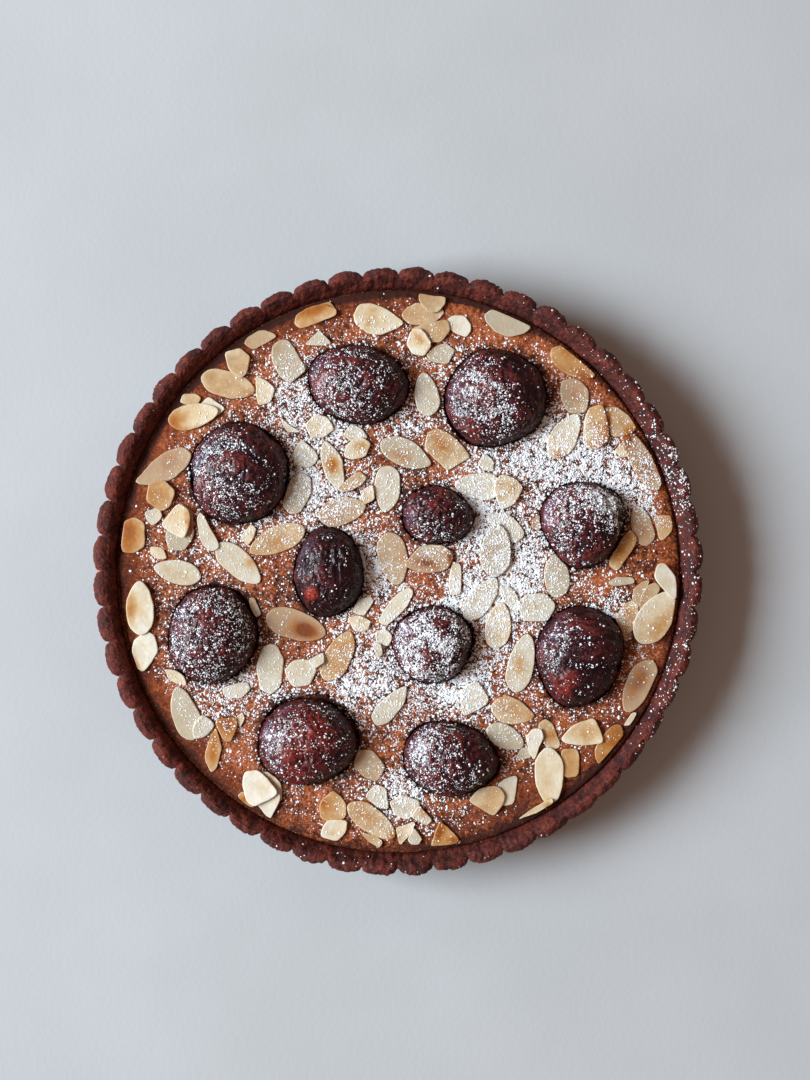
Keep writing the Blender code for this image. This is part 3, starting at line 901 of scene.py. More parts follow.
@dataclass
class Chestnut:
    """One whole chestnut, set in the filling to its girth."""

    number: int
    x: float
    y: float
    length: float
    width: float
    turn_deg: float
    dome: float
    taper: float
    wrinkles: Wrinkles = Wrinkles.LENGTHWISE
    reds: Hills = ()
    folds: tuple[tuple[float, float, Line], ...] = ()
    glow: float = 0.0
    sugar: float = 0.6
    frost: Hills = ()
    lumps: tuple[float, float] = (0.0, 0.0)
    deep: float = 0.0
    # The photo's shadows are short, so the dome is lower than the solid's.
    dome_share: float = 0.9
    depth: float = 12.4
    top_round: float = 0.78
    belly_round: float = 0.95
    belly_deg: float = 72.0
    # How much longer than wide the wrinkles are, and how high the lumps, wrinkles and grit.
    stretch: float = 2.4
    lump: float = 0.42
    small_lump: float = 0.3
    ridge: float = 0.46
    fine_ridge: float = 0.24
    grit: float = 0.12
    # How far the girth's three and five waves stand out, as shares of its radius.
    girth_waves: tuple[float, float] = (0.018, 0.012)
    rings: int = 62
    belly_rows: int = 9
    speck_size: float = 0.8

    def local(self, flat: Array) -> tuple[Array, Array]:
        """Places (x, y) as distances along and across the chestnut."""
        return turned(flat, self.x, self.y, self.turn_deg)

    def reach(self, column: Array, grow: float = 0.0) -> tuple[Array, Array]:
        """Half length and half width of the girth at a direction, grown by a gap.

        Args:
            column: Directions from the middle, in radians.
            grow: The gap, in millimetres.

        Returns:
            The half lengths and the half widths.
        """
        (three, five), (start, other) = self.girth_waves, self.lumps
        lump = 1.0 + three * np.sin(3.0 * column + start) + five * np.sin(5.0 * column + other)
        half_width = self.width / 2.0 * lump * (1.0 - self.taper * np.cos(column))
        return self.length / 2.0 * lump + grow, half_width + grow

    def share(self, flat: Array, grow: float = 0.0) -> Array:
        """0 at the middle and 1 on the girth, for places (x, y).

        Args:
            flat: Places (x, y).
            grow: How much wider the girth is taken, in millimetres.

        Returns:
            The shares.
        """
        u, v = self.local(flat)
        column = np.arctan2(v / self.width, u / self.length)
        half_length, half_width = self.reach(column, grow)
        return np.hypot(u / half_length, v / half_width)

    @property
    def radius(self) -> float:
        """Its mean half width."""
        return (self.length + self.width) / 4.0

    def clearance(self, flat: Array) -> Array:
        """Roughly how far places (x, y) are outside the girth, in millimetres."""
        return (self.share(flat) - 1.0) * self.radius

    def relief(self, places: Array, seed: int) -> Array:
        """Height of the skin's wrinkles over the plain shape, in millimetres.

        Args:
            places: Places (x, y, z) on the plain shape.
            seed: Seed of the unevenness.

        Returns:
            The heights.
        """
        u, v = self.local(places[:, :2])
        skin = np.column_stack((u, v, places[:, 2]))
        bend = 1.8 * noise(skin, 7.0, seed + 1) + 0.5 * noise(skin, 2.5, seed + 5)
        if self.wrinkles is Wrinkles.LENGTHWISE:
            stretched = np.column_stack((u / self.stretch + bend * 0.4, v + bend, skin[:, 2]))
        elif self.wrinkles is Wrinkles.CROSSWISE:
            stretched = np.column_stack((u + bend, v / self.stretch + bend * 0.4, skin[:, 2]))
        else:
            stretched = skin + bend[:, None] * 0.6
        ridge = 1.0 - np.abs(noise(stretched, 3.0, seed + 2)) * 2.0
        fine = 1.0 - np.abs(noise(stretched, 1.5, seed + 3)) * 2.0
        height = self.lump * noise(skin, 9.0, seed) + self.small_lump * noise(skin, 4.2, seed + 6)
        height += self.ridge * (ridge - 0.5)
        height += self.fine_ridge * (fine - 0.5) + self.grit * noise(skin, 0.8, seed + 4)
        for width, depth, line in self.folds:
            height -= depth * np.exp(-0.5 * (distance_to_line(places[:, :2], line) / width) ** 2)
        return height

    def masks(self, flat: Array, places: Array, rise: Array, relief: Array) -> dict[str, Array]:
        """What the finish and the sugar read.

        Args:
            flat: Places (x, y) on the plain shape.
            places: The same places on the wrinkled skin.
            rise: 0 on the girth and a quarter turn at the top.
            relief: Height of the wrinkles.

        Returns:
            The masks by name.
        """
        fold = step_up(relief, -0.9, 0.8)
        lean = (0.4 * (flat[:, 1] - self.y) - 0.85 * (flat[:, 0] - self.x)) / (self.length / 2.0)
        drift = 0.2 * (DRIFTS.amount(flat) - 0.5) + 0.22 * noise(places, 8.0, 160 + self.number)
        dust = hills_at(flat, self.frost, self.sugar + drift + 0.5 * (0.5 - fold) + 0.13 * lean)
        gloss = 0.6 + 0.5 * noise(places, 6.0, 260 + self.number)
        return {
            # Painted shade: the fold mask is lowered on the side away from the window.
            "fold": fold - 0.22 * step_up(-lean, -0.3, 0.7) - self.deep,
            "red": hills_at(flat, self.reds, self.glow),
            "dust": np.clip(dust, 0.06, 1.1) * step_up(rise, -0.05, 0.75) * step_up(lean, -1.15, -0.6),
            # Painted sheen on the flank facing the window.
            "sheen": step_up(lean, 0.15, 0.95) * step_up(rise, 0.05, 0.5) * gloss,
        }

    def build(self, filling: Filling) -> Shape:
        """Makes the skin as a dome on an even disc, with a belly below the filling.

        Args:
            filling: The filling that it sits in.

        Returns:
            The shape, with masks for folds with painted shade, red, dust, painted sheen and side.
        """
        disc, faces = even_disc(self.rings)
        girth = 6 * self.rings
        column = np.arctan2(disc[:, 1], disc[:, 0])
        column = np.concatenate((column, np.tile(column[-girth:], self.belly_rows)))
        belly = -self.belly_deg * np.arange(1, self.belly_rows + 1) / self.belly_rows * math.pi / 180.0
        rise = np.concatenate(((1.0 - np.hypot(*disc.T) ** 1.15) * math.pi / 2.0, np.repeat(belly, girth)))
        rings = np.arange(len(disc) - girth, len(rise)).reshape(-1, girth)
        above = rise > 0.0
        share = np.cos(np.clip(rise, -1.5, math.pi / 2.0)) ** np.where(above, self.top_round, self.belly_round)
        half_length, half_width = self.reach(column)
        u = half_length * share * np.cos(column)
        v = half_width * share * np.sin(column)
        turn = math.radians(self.turn_deg)
        x = self.x + u * math.cos(turn) - v * math.sin(turn)
        y = self.y + u * math.sin(turn) + v * math.cos(turn)
        level = float(filling.height(np.array([[self.x, self.y]]))[0])
        tall = np.where(above, self.dome * self.dome_share, self.depth)
        places = np.column_stack((x, y, level + tall * np.sin(rise)))
        normals = np.column_stack((x - self.x, y - self.y, (places[:, 2] - level) * self.length / (2.0 * tall)))
        normals /= np.maximum(np.linalg.norm(normals, axis=1), 1e-9)[:, None]
        relief = self.relief(places, 100 + 20 * self.number)
        places = places + normals * ((relief - 0.15) * np.where(above, 1.0, 0.5))[:, None]
        masks = self.masks(np.column_stack((x, y)), places, rise, relief)
        return Shape().add(
            np.vstack((places, (self.x, self.y, level - self.depth))),
            np.vstack((faces, *bands(rings), fan(rings[-1], len(places), False))),
            side=np.append(1.0 - step_up(rise, 0.1, 0.7), 1.0),
            coarse=self.speck_size,
            **{name: np.append(values, 0.0) for name, values in masks.items()},
        )


def distance_to_line(flat: Array, line: Line) -> Array:
    """Distance of places (x, y) from a line through points.

    Args:
        flat: Places (x, y).
        line: The line's points.

    Returns:
        The distances.
    """
    best = np.full(len(flat), 1e9)
    for start, end in zip(line, line[1:]):
        a = np.array(start)
        d = np.array(end) - a
        along = np.clip(((flat - a) @ d) / (d @ d), 0.0, 1.0)
        best = np.minimum(best, np.linalg.norm(flat - a - along[:, None] * d, axis=1))
    return best


# The chestnuts: number, middle x and y, length, width, direction, dome, taper, kind of wrinkles,
# and then their reds, folds and sugar as seen.
CHESTNUTS = (
    Chestnut(
        1, -15.7, 73.7, 39.5, 30.5, -10, 13.5, 0.02, Wrinkles.CROSSWISE,
        reds=((-27, 66, 3, 0.5), (-24, 82, 5, 0.5)),
        sugar=0.53,
        frost=((-9, 73, 3, 0.25), (-3, 80, 6, -0.15), (-20, 82, 7, -0.2), (0, 70, 6, -0.3), (-30, 72, 4, 0.15)),
        lumps=(5.808, 0.595),
    ),
    Chestnut(
        2, 38.5, 68.2, 40.0, 38.0, 15, 14.2, 0.03, Wrinkles.CROSSWISE,
        reds=((44, 82, 4, 0.25),),
        sugar=0.35,
        frost=(
            (27, 77, 4, 0.1), (34, 73, 4, 0.3), (44, 72, 3, 0.3), (37, 63, 5, 0.4),
            (45, 63, 4, 0.3), (52, 80, 9, -0.5), (55, 66, 6, -0.3), (40, 85, 6, -0.2),
        ),
        lumps=(3.283, 6.14),
    ),
    Chestnut(
        3, -62.7, 38.6, 39.5, 38.5, 80, 14.8, 0.04, Wrinkles.LENGTHWISE,
        reds=(
            (-74, 33, 2.4, 0.6), (-76, 38, 2, 0.6), (-75, 43, 2, 0.4),
            (-71, 28.5, 2, 0.5), (-66, 25, 2.2, 0.5), (-63, 48, 3, 0.5),
        ),
        folds=(
            (1.1, 1.5, ((-82, 34), (-80, 41), (-73, 47), (-66, 49.5), (-57, 47), (-52, 42))),
            (0.7, 0.8, ((-77, 42), (-72, 28), (-64, 22))),
        ),
        sugar=0.43,
        deep=0.02,
        frost=((-76, 46, 4, -0.15), (-67.5, 44, 3, 0.35), (-52, 44, 8, -0.35), (-58, 52, 7, -0.25)),
        lumps=(5.409, 0.769),
    ),
    Chestnut(
        4, 15.6, 21.8, 28.0, 22.6, -8, 10.2, 0.06, Wrinkles.PEBBLED, sugar=0.1,
        frost=((9, 13, 3, 0.35), (18, 12.5, 3, 0.3), (27, 16, 3, 0.25)), lumps=(2.52, 6.229),
    ),
    Chestnut(
        5, 73.0, 18.2, 34.0, 32.5, -88, 14.0, 0.17,
        reds=((63, 28, 3, 0.5), (74, 18, 5, 0.3)),
        folds=((0.9, 1.0, ((82, 29), (84, 24), (88, 20))),),
        sugar=0.5,
        frost=((74, 30, 5, 0.5), (84, 25, 5, 0.6), (80, 12, 6, -0.3)),
        lumps=(2.115, 3.437),
    ),
    Chestnut(
        6, -27.4, -0.4, 35.0, 27.0, 90, 12.6, 0.03,
        reds=((-34, -8.5, 2.0, 1.4),),
        sugar=-0.12,
        deep=0.26,
        frost=(
            (-37.5, 2, 3, 0.15), (-36, 10, 4, 0.1), (-36.5, -5, 2.5, 0.1),
            (-23, 9, 5, 0.1), (-18, 4, 3, 0.2), (-29, 15, 3, 0.2),
        ),
        lumps=(0.77, 5.696),
    ),
    Chestnut(
        7, -73.2, -25.0, 38.5, 34.5, 78, 14.6, 0.02, Wrinkles.PEBBLED,
        reds=((-84, -17, 3, 0.3), (-70, -17, 4, 0.3)),
        sugar=0.5,
        lumps=(5.778, 2.642),
    ),
    Chestnut(
        8, 13.7, -28.8, 31.0, 30.0, 20, 12.8, 0.03, Wrinkles.PEBBLED,
        sugar=0.86,
        frost=(
            (26, -32, 4, -0.5), (8, -20, 3, 0.4), (12, -24, 3, 0.4), (3, -34, 4, 0.4),
            (9, -38, 3, 0.3), (17, -30, 2.5, 0.4), (14, -18, 2.5, -0.45), (18, -23, 2.5, -0.35),
            (5, -27, 2.5, -0.5), (12, -31, 2.5, -0.35), (14, -36, 2.5, -0.4), (21, -27, 2, 0.3),
        ),
        lumps=(0.66, 2.256),
    ),
    Chestnut(
        9, 71.3, -33.4, 39.5, 33.5, 76, 14.2, -0.06, Wrinkles.CROSSWISE,
        reds=((64.5, -44, 4, 0.7), (62, -33, 3, 0.3), (68, -20, 5, 0.3)),
        folds=((1.0, 1.3, ((66, -36), (71, -36.5), (77, -38), (86, -37))),),
        sugar=0.02,
        deep=0.06,
        frost=(
            (59, -34, 3, 0.6), (60, -25, 4, 0.35), (70, -42, 4, 0.25), (58, -43, 3, 0.35), (66, -22, 4, 0.2),
        ),
        lumps=(4.031, 5.742),
    ),
    Chestnut(
        10, -35.8, -67.2, 38.5, 33.6, 4, 14.4, 0.02, Wrinkles.PEBBLED,
        reds=((-36, -64, 8, 0.35), (-40, -80, 4, 0.3)),
        glow=0.28,
        sugar=0.28,
        frost=((-46, -66, 4, 0.35),),
        lumps=(3.173, 2.537),
    ),
    Chestnut(
        11, 20.5, -73.9, 37.2, 28.8, -10, 13.2, 0.05, Wrinkles.CROSSWISE,
        reds=((8, -80, 4, 0.3), (24, -66, 3, 0.2)),
        sugar=0.44,
        frost=((7, -70, 4, 0.4), (16, -62, 3, 0.3), (32, -68, 6, -0.35)),
        lumps=(1.023, 2.106),
    ),
)


# ---------------- filling


@dataclass
class Filling:
    """The baked almond filling with a pocket for each chestnut."""

    top: float = 23.4
    swell: float = 0.3
    edge_radius: float = 110.3
    # The wall and the underside: radius, height.
    wall: Rows = ((111.15, 22.0), (109.9, 17.0), (107.6, 5.9), (105.7, 4.5))
    rings: int = 172
    far_rim: Swells = ((322.0, 20.0, 1.0),)
    gap: float = 0.45
    pocket_reach: float = 27.0
    pocket_least: float = 2.2
    lip_width: float = 0.36
    lip_gap: float = 0.03
    lump: float = 0.2
    grain: float = 0.32
    # Wider gaps: the chestnut's number, direction from its middle, spread, how much wider.
    wide_gaps: Rows = (
        (10, 75, 28, 1.5), (10, 25, 22, 1), (10, 130, 20, 0.7), (7, 55, 30, 0.6), (8, 0, 40, 0.7),
        (9, -70, 35, 0.7), (2, 215, 25, 0.6), (3, 60, 30, 0.5), (11, -20, 30, 0.4),
    )
    # Darker and paler patches: middle x and y, spread, how much darker. Most are the filling's own stains; some
    # paler ones are painted light where chestnuts cast shadow.
    stains_and_painted_light: Hills = (
        (6, 35, 7, 0.5), (-9, 48, 5, 0.2), (-48, -9, 5, 0.35), (-82, -2, 7, 0.22), (42, -98, 8, 0.08),
        (-92, -66, 10, 0.15), (88, -7, 5, 0.3), (88, -58, 5, 0.2), (-10, -84, 5, 0.25), (28, 102, 6, -0.35),
        (36, 90, 5, -0.25), (17, 38, 4, -0.45), (24, 42, 3.5, -0.4), (-93, 50, 7, -0.2), (-99, 30, 5, -0.2),
        (8, -4, 5, -0.25), (-8, 20, 5, -0.2), (-62, -72, 7, -0.2), (-86, -46, 5, -0.25), (82, -1, 5, -0.25),
        (94, -33, 4.5, -0.3), (18, -103, 7, 0.22), (103, 5, 7, 0.35), (70, -86, 8, 0.12),
    )

    def height(self, flat: Array) -> Array:
        """Height of the filling's plain top at places (x, y), as in the solid.

        Args:
            flat: Places (x, y).

        Returns:
            The heights.
        """
        x, y = flat.T
        swell = np.sin(0.046 * x + 1.2) * np.cos(0.051 * y - 0.4) + 0.5 * np.sin(0.09 * (x - y))
        edge = np.maximum(0.0, np.hypot(x, y) - 100.0) / 11.0
        return self.top + self.swell * swell - 0.5 * edge * edge

    def bulge(self, flat: Array) -> Array:
        """How much farther out the filling reaches in the direction of places (x, y)."""
        return swells_at(directions(flat), self.far_rim)

    def pocket_gap(self, nut: Chestnut, flat: Array) -> Array:
        """How wide the gap beside a chestnut is, for places (x, y)."""
        wider = tuple(row[1:] for row in self.wide_gaps if row[0] == nut.number)
        return swells_at(directions(flat - [nut.x, nut.y]), wider, self.gap)

    def press_pockets(self, flat: Array, height: Array) -> tuple[Array, Array]:
        """Presses a pocket with a crisp lip for each chestnut.

        Args:
            flat: Places (x, y) of the top; those at a lip are moved onto it.
            height: Their heights; they are lowered in the pockets.

        Returns:
            Which places lie in a pocket, and how dark the filling is beside the chestnuts.
        """
        under = np.zeros(len(flat), bool)
        stain = np.zeros(len(flat))
        for nut in CHESTNUTS:
            near = np.flatnonzero(np.hypot(flat[:, 0] - nut.x, flat[:, 1] - nut.y) < self.pocket_reach)
            spot = flat[near]
            gap = self.pocket_gap(nut, spot)
            away = nut.clearance(spot) - gap
            lip = np.abs(away) < self.lip_width
            spot[lip] += (spot[lip] - [nut.x, nut.y]) * ((self.lip_gap - away[lip]) / nut.radius)[:, None]
            flat[near] = spot
            away = nut.clearance(spot) - gap
            inner = away < 0.0
            share = np.clip(nut.share(spot, self.gap), 0.0, 1.0)
            depth = (nut.depth + self.gap) * np.sqrt(np.clip(1.0 - share ** (2.0 / nut.belly_round), 0.0, 1.0))
            bottom = np.minimum(height[near], self.height(spot) - np.maximum(depth, self.pocket_least))
            height[near] = np.where(inner, bottom, height[near])
            under[near[inner]] = True
            stain[near] = np.maximum(stain[near], 0.5 * (1.0 - step_up(away, 0.2, 3.4)))
        return under, stain

    def masks(self, flat: Array, stain: Array) -> dict[str, Array]:
        """Where the top is dusted, stained, painted darker for shade and paler for light, and smooth.

        Args:
            flat: Places (x, y) of the top.
            stain: How dark it is beside the chestnuts.

        Returns:
            The masks by name.
        """
        x, y = flat.T
        far = np.hypot(x, y)
        dust = DRIFTS.amount(flat) * (1.0 - 0.5 * step_up(far, 103.5, 106.0))
        dust *= 1.0 - 0.8 * step_up(far, 106.0, 108.5)
        smooth = step_up(0.3 * y - x, -20.0, 50.0) * step_up(far, 98.0, 104.0)
        smooth += 0.7 * step_up(0.6 * x - 0.8 * y, 62.0, 92.0) * step_up(far, 92.0, 100.0)
        # Painted shadow: a dark band where the crust's inner wall shades the filling at the top; it also makes
        # that band smooth.
        crevice_shadow = step_up(far, 107.4, 109.2) * np.exp(-0.5 * ((directions(flat) - 110.0) / 32.0) ** 2)
        # Darker next to the crust, more on the right: partly a dark baked edge, partly painted shade in the
        # crevice at the crust.
        rim = step_up(far - 1.2 * self.bulge(flat), 105.0, 110.0)
        rim *= 0.35 + 0.3 * step_up(x, -20.0, 60.0)
        stain = stain + (0.16 * rough(upright(flat), 14.0, 21) + 0.15 + rim)
        # Painted shade: the filling is drawn darker where the sugar lies thick.
        stain += 0.4 * step_up(dust, 0.45, 0.9)
        # Painted light: paler near the rim on the right, where the top slopes away from the window.
        stain -= 0.5 * step_up(x + 0.3 * y, 55.0, 98.0) * step_up(far, 97.0, 104.0)
        stain += 0.1 * smooth
        stain += crevice_shadow
        stain = hills_at(flat, self.stains_and_painted_light, stain)
        return {"dust": dust, "stain": stain, "smooth": np.maximum(smooth, crevice_shadow)}

    def build(self, covered: list[Array]) -> Shape:
        """Makes the filling.

        Args:
            covered: The outlines of the flakes that lie on it.

        Returns:
            The shape, with masks for relief, stain with painted shade and light, smoothness, dust and the part
            that the sugar can reach.
        """
        disc, faces = even_disc(self.rings)
        flat = disc * self.edge_radius
        outer = step_up(np.hypot(*flat.T), 98.0, self.edge_radius)
        flat = flat * (1.0 + self.bulge(flat) * outer / self.edge_radius)[:, None]
        height = self.height(flat)
        under, stain = self.press_pockets(flat, height)
        relief = self.lump * rough(upright(flat), 6.0, 1) + self.grain * rough(upright(flat), 2.1, 9)
        far = np.hypot(*flat.T)
        height = height + np.where(under, 0.0, relief * step_up(self.edge_radius - far, 0.0, 1.0))
        height = height - (0.2 + step_up(-flat[:, 0], -60.0, 60.0)) * step_up(far, 107.0, 111.0)
        reached = ~under
        for outline in covered:
            low, high = outline.min(axis=0), outline.max(axis=0)
            near = np.flatnonzero(((flat > low) & (flat < high)).all(axis=1))
            reached[near[inside_outline(flat[near], outline)]] = False
        masks = self.masks(flat, stain) | {"relief": step_up(relief, -0.5, 0.5), "open": reached.astype(float)}

        count = 6 * self.rings
        turns = np.arange(count) * (math.tau / count)
        circle = np.column_stack((np.cos(turns), np.sin(turns)))
        parts = [upright(flat, height)]
        for radius, level in self.wall:
            parts.append(upright(circle * (radius + self.bulge(circle) * (level > 20.0))[:, None], level))
        places = np.vstack((*parts, (0.0, 0.0, self.wall[-1][1])))
        foot = len(places) - 1
        rings = np.arange(len(flat) - count, foot).reshape(-1, count)
        hidden = np.zeros(len(places) - len(flat))
        return Shape().add(
            places,
            np.vstack((faces, *bands(rings), fan(rings[-1], foot, False))),
            **{name: np.append(values, hidden) for name, values in masks.items()},
        )


# ---------------- crust


@dataclass
class Crust:
    """The fluted shell. Python turns the plain shell, and a tree of nodes presses the flutes into it."""

    flutes: int = 52
    start_deg: float = 3.4
    columns_each: int = 20
    # Radius, depth of the flutes, height, broadening inwards, share of the unevenness, dip of the creases.
    profile: Rows = (
        (112.8, 2.2, 0.0, 0.0, 0.0, 0.0),
        (114.4, 2.9, 1.8, 0.0, 0.0, 0.0),
        (118.3, 3.2, 19.0, 0.0, 0.2, 0.0),
        (119.9, 3.1, 24.4, 0.0, 0.58, 0.2),
        (119.5, 2.7, 26.5, 0.0, 0.8, 0.9),
        (118.1, 1.7, 27.8, 0.0, 0.97, 1.5),
        (116.2, 0.6, 28.1, 0.3, 1.0, 1.4),
        (114.6, 0.1, 27.1, 1.2, 0.8, 0.8),
        (113.2, 0.0, 25.2, 0.9, 0.2, 0.2),
        (111.6, 0.0, 22.6, 0.0, 0.0, 0.0),
        (110.2, 0.0, 15.7, 0.0, 0.0, 0.0),
        (108.0, 0.0, 5.6, 0.0, 0.0, 0.0),
        (106.0, 0.0, 4.2, 0.0, 0.0, 0.0),
    )
    steps: tuple[int, ...] = (2, 12, 6, 6, 7, 6, 6, 6, 5, 2, 2, 1)
    # The profile goes up the outer side for this many steps.
    outer_steps: int = 6
    tip_unevenness: float = 0.45
    crest_unevenness: float = 0.35
    dip_unevenness: float = 0.35
    crest_radius: float = 116.2
    crest_height: float = 28.0
    rim_radius: float = 117.0
    # How high the surface's lumps, crumbs, grit, streaks and cracks are, and how wide the cracks.
    lump: float = 0.3
    crumb: float = 0.2
    grit: float = 0.22
    streak: float = 0.24
    crack: float = 0.4
    crack_width: float = 0.22
    # Where cracks and streaks begin, are full, fade and end, along the profile from the foot.
    cracked: tuple[float, float, float, float] = (8.0, 20.0, 38.0, 42.0)
    sunk: float = 0.1
    # By direction: flatter flutes, a rim broader inwards, an inner wall farther out, streaks and
    # sugar on the crest.
    flat_flutes: Swells = ((312.0, 13.0, 0.5), (345.0, 8.0, 0.25))
    broad_rim: Swells = ((291.0, 5.0, 0.9), (309.0, 5.0, 0.5), (322.0, 18.0, -0.4), (195.0, 25.0, 0.7))
    thin_rim: Swells = ((322.0, 20.0, 1.0),)
    streaked: Swells = ((78.0, 26.0, 1.0), (250.0, 26.0, 0.9), (285.0, 16.0, 0.8))
    dusty: Swells = (
        (20.0, 11.0, 0.6), (337.0, 8.0, 0.55), (355.0, 9.0, 0.3), (40.0, 12.0, 0.2), (140.0, 16.0, 0.12),
    )
    least_dust: float = 0.14

    def rows(self) -> Array:
        """The profile in fine steps, rounded by a curve through its corners.

        Returns:
            One row of the profile's six values for each ring.
        """
        corners = np.array(self.profile)
        before = np.vstack((2 * corners[0] - corners[1], corners, 2 * corners[-1] - corners[-2]))
        fine = []
        for index, count in enumerate(self.steps):
            fine += [on_curve(before[index : index + 4], step / count) for step in range(count)]
        fine = np.array([*fine, corners[-1]])
        fine[:, 1] = np.maximum(fine[:, 1], 0.0)
        return fine

    def plain_shell(self) -> Piece:
        """Turns the shell without its flutes, with masks that say how deep they go.

        Returns:
            The shell as an object.
        """
        chance = random.Random(SEED)
        tips = np.array([chance.uniform(-1.0, 1.0) for _ in range(self.flutes)])
        crests = np.array([chance.uniform(-1.0, 1.0) for _ in range(self.flutes)])
        along = np.arange(self.flutes * self.columns_each) / self.columns_each
        turn_deg = self.start_deg + along * 360.0 / self.flutes
        turn = np.radians(turn_deg)
        before = np.floor(along).astype(int)
        share = along - before

        def of_flute(values: Array) -> Array:
            """One value for each column, between those of the flutes beside it."""
            return values[before % self.flutes] * (1.0 - share) + values[(before + 1) % self.flutes] * share

        rows = self.rows()
        radius, depth, height, broad, uneven, dip = (column[:, None] for column in rows.T)
        outer = (np.arange(len(rows)) < sum(self.steps[: self.outer_steps])).astype(float)[:, None]
        inner = (1.0 - outer) * np.clip((self.crest_radius - radius) / 3.0, 0.0, 1.0)
        inner *= step_up(height, 8.0, 20.0)
        lift = np.clip(height / self.crest_height, 0.0, 1.0)
        radius = radius + self.tip_unevenness * (lift * outer) * of_flute(tips)
        radius = radius - broad * swells_at(turn_deg, self.broad_rim)
        radius = radius + inner * swells_at(turn_deg, self.thin_rim)
        height = height + self.crest_unevenness * uneven * of_flute(crests)
        strength = 1.0 - swells_at(turn_deg, self.flat_flutes)
        steps = np.hypot(*np.diff(rows[:, [0, 2]], axis=0).T)
        masks = {
            "flute_depth": depth * strength,
            "flute_dip": dip * (1.0 + self.dip_unevenness * of_flute(tips[::-1])) * strength,
            "streak": swells_at(turn_deg, self.streaked),
            "path": np.append(0.0, np.cumsum(steps))[:, None],
        }
        places = np.stack((radius * np.cos(turn), radius * np.sin(turn), height), axis=2).reshape(-1, 3)
        ends = np.array([[0.0, 0.0, 0.0], [0.0, 0.0, self.profile[-1][2]]])
        count = len(places)
        rings = np.arange(count).reshape(radius.shape)
        faces = (*bands(rings, True), fan(rings[0], count, False), fan(rings[-1], count + 1, True))
        for name, values in masks.items():
            masks[name] = np.append(np.broadcast_to(values, radius.shape), (0.0, 0.0))
        return Shape().add(np.vstack((places, ends)), np.vstack(faces), **masks).made("crust_shell")

    def flute_tree(self, material: Material) -> MeshTree:
        """The tree that presses the flutes: the radius falls from each tip to the valley as a half circle.

        Args:
            material: The crust's finish.

        Returns:
            The tree, with named inputs for the number of flutes and the first tip's direction.
        """
        tree = MeshTree("pressed_flutes", {"Flutes": "Int", "First tip": "Float"})
        shell, flutes, first = tree.given
        position = tree.node("ShaderNodeSeparateXYZ", {0: tree.wire("GeometryNodeInputPosition")}).outputs
        x, y = Wire(tree, position[0]), Wire(tree, position[1])
        along = (y.math("ARCTAN2", x) - first) * flutes / math.tau
        away = abs(along - along.math("ROUND")) * 2.0
        fall = 1.0 - (1.0 - away * away).math("MAXIMUM", 0.0).math("SQRT")
        radius = (x * x + y * y).math("SQRT").math("MAXIMUM", 1e-6)
        scale = tree.mask("flute_depth") * fall * -MM / radius
        dip = tree.mask("flute_dip") * fall * -MM
        inward = tree.wire("ShaderNodeCombineXYZ", {0: x * scale, 1: y * scale, 2: dip})
        tree.finish(tree.wire("GeometryNodeSetPosition", {"Geometry": shell, "Offset": inward}), material)
        return tree

    def build(self, material: Material) -> Piece:
        """Makes the crust.

        Args:
            material: Its finish.

        Returns:
            The object, with masks for relief, which also carries painted shade, and dust.
        """
        inputs = {"Flutes": self.flutes, "First tip": math.radians(self.start_deg)}
        made = self.flute_tree(material).run(self.plain_shell(), inputs, "crust_baked")
        places = read_places(made) / MM
        body = places[:-2].reshape(-1, self.flutes * self.columns_each, 3)
        normals = grid_normals(body).reshape(-1, 3)
        flat = body.reshape(-1, 3)
        streak = read_mask(made, "streak")[:-2]
        path = read_mask(made, "path")[:-2]
        turn = np.arctan2(flat[:, 1], flat[:, 0])
        round_rim = np.column_stack((np.cos(turn), np.sin(turn))) * self.rim_radius
        streaks = noise(upright(round_rim, path / 9.0), 0.85, 6)
        cracks = noise(upright(round_rim, path / 5.0), 1.7, 8)
        fissure = -np.maximum(0.0, self.crack_width - np.abs(cracks)) / self.crack_width
        begin, full, fade, end = self.cracked
        outside = step_up(path, begin, full) * (1.0 - step_up(path, fade, end))
        relief = self.lump * noise(flat, 5.0, 4) + self.crumb * rough(flat, 1.9, 3)
        relief += outside * (0.2 + 0.8 * streak) * (self.streak * streaks + self.crack * fissure)
        relief += outside * (1.0 - streak * 0.5) * self.grit * noise(flat, 1.0, 12)
        base = 1.0 - step_up(flat[:, 2], 0.0, 1.2)
        hidden = (path > 40.0) * (flat[:, 2] < 21.0)
        relief = relief * (1.0 - base) * (1.0 - hidden)
        moved = flat + normals * (relief - self.sunk * (1.0 - base))[:, None]
        moved[:, 2] = np.maximum(moved[:, 2], 0.0)
        write_places(made, np.vstack((moved, places[-2:])) * MM)
        stayed = self.least_dust + swells_at(np.degrees(turn) % 360.0, self.dusty)
        dust = DRIFTS.amount(flat[:, :2]) * np.clip(normals[:, 2], 0.0, 1.0) * stayed
        # Painted shade: the rim's inner side on the right faces the window and is drawn darker through the
        # relief mask.
        lit_side_shade = step_up(-normals[:, 0], 0.1, 0.6) * step_up(flat[:, 0], 10.0, 80.0)
        add_mask(made, "relief", np.append(step_up(relief, -0.5, 0.5) - 0.2 * lit_side_shade, (0.5, 0.5)))
        add_mask(made, "dust", np.append(dust, (0.0, 0.0)))
        return made


# ---------------- flaked almonds


class Tone(Enum):
    """How a flake looks: how toasted it is, and how grey and see-through."""

    WHITE = (0.02, 0.16)
    CREAM = (0.18, 0.0)
    PEARL = (0.1, 0.45)
    GREY = (0.3, 0.8)
    DULL = (0.55, 0.5)
    TAN = (0.42, 0.2)
    GOLDEN = (0.5, 0.0)
    AMBER = (0.68, 0.0)


W, C, P, G, D, T, O, A = Tone

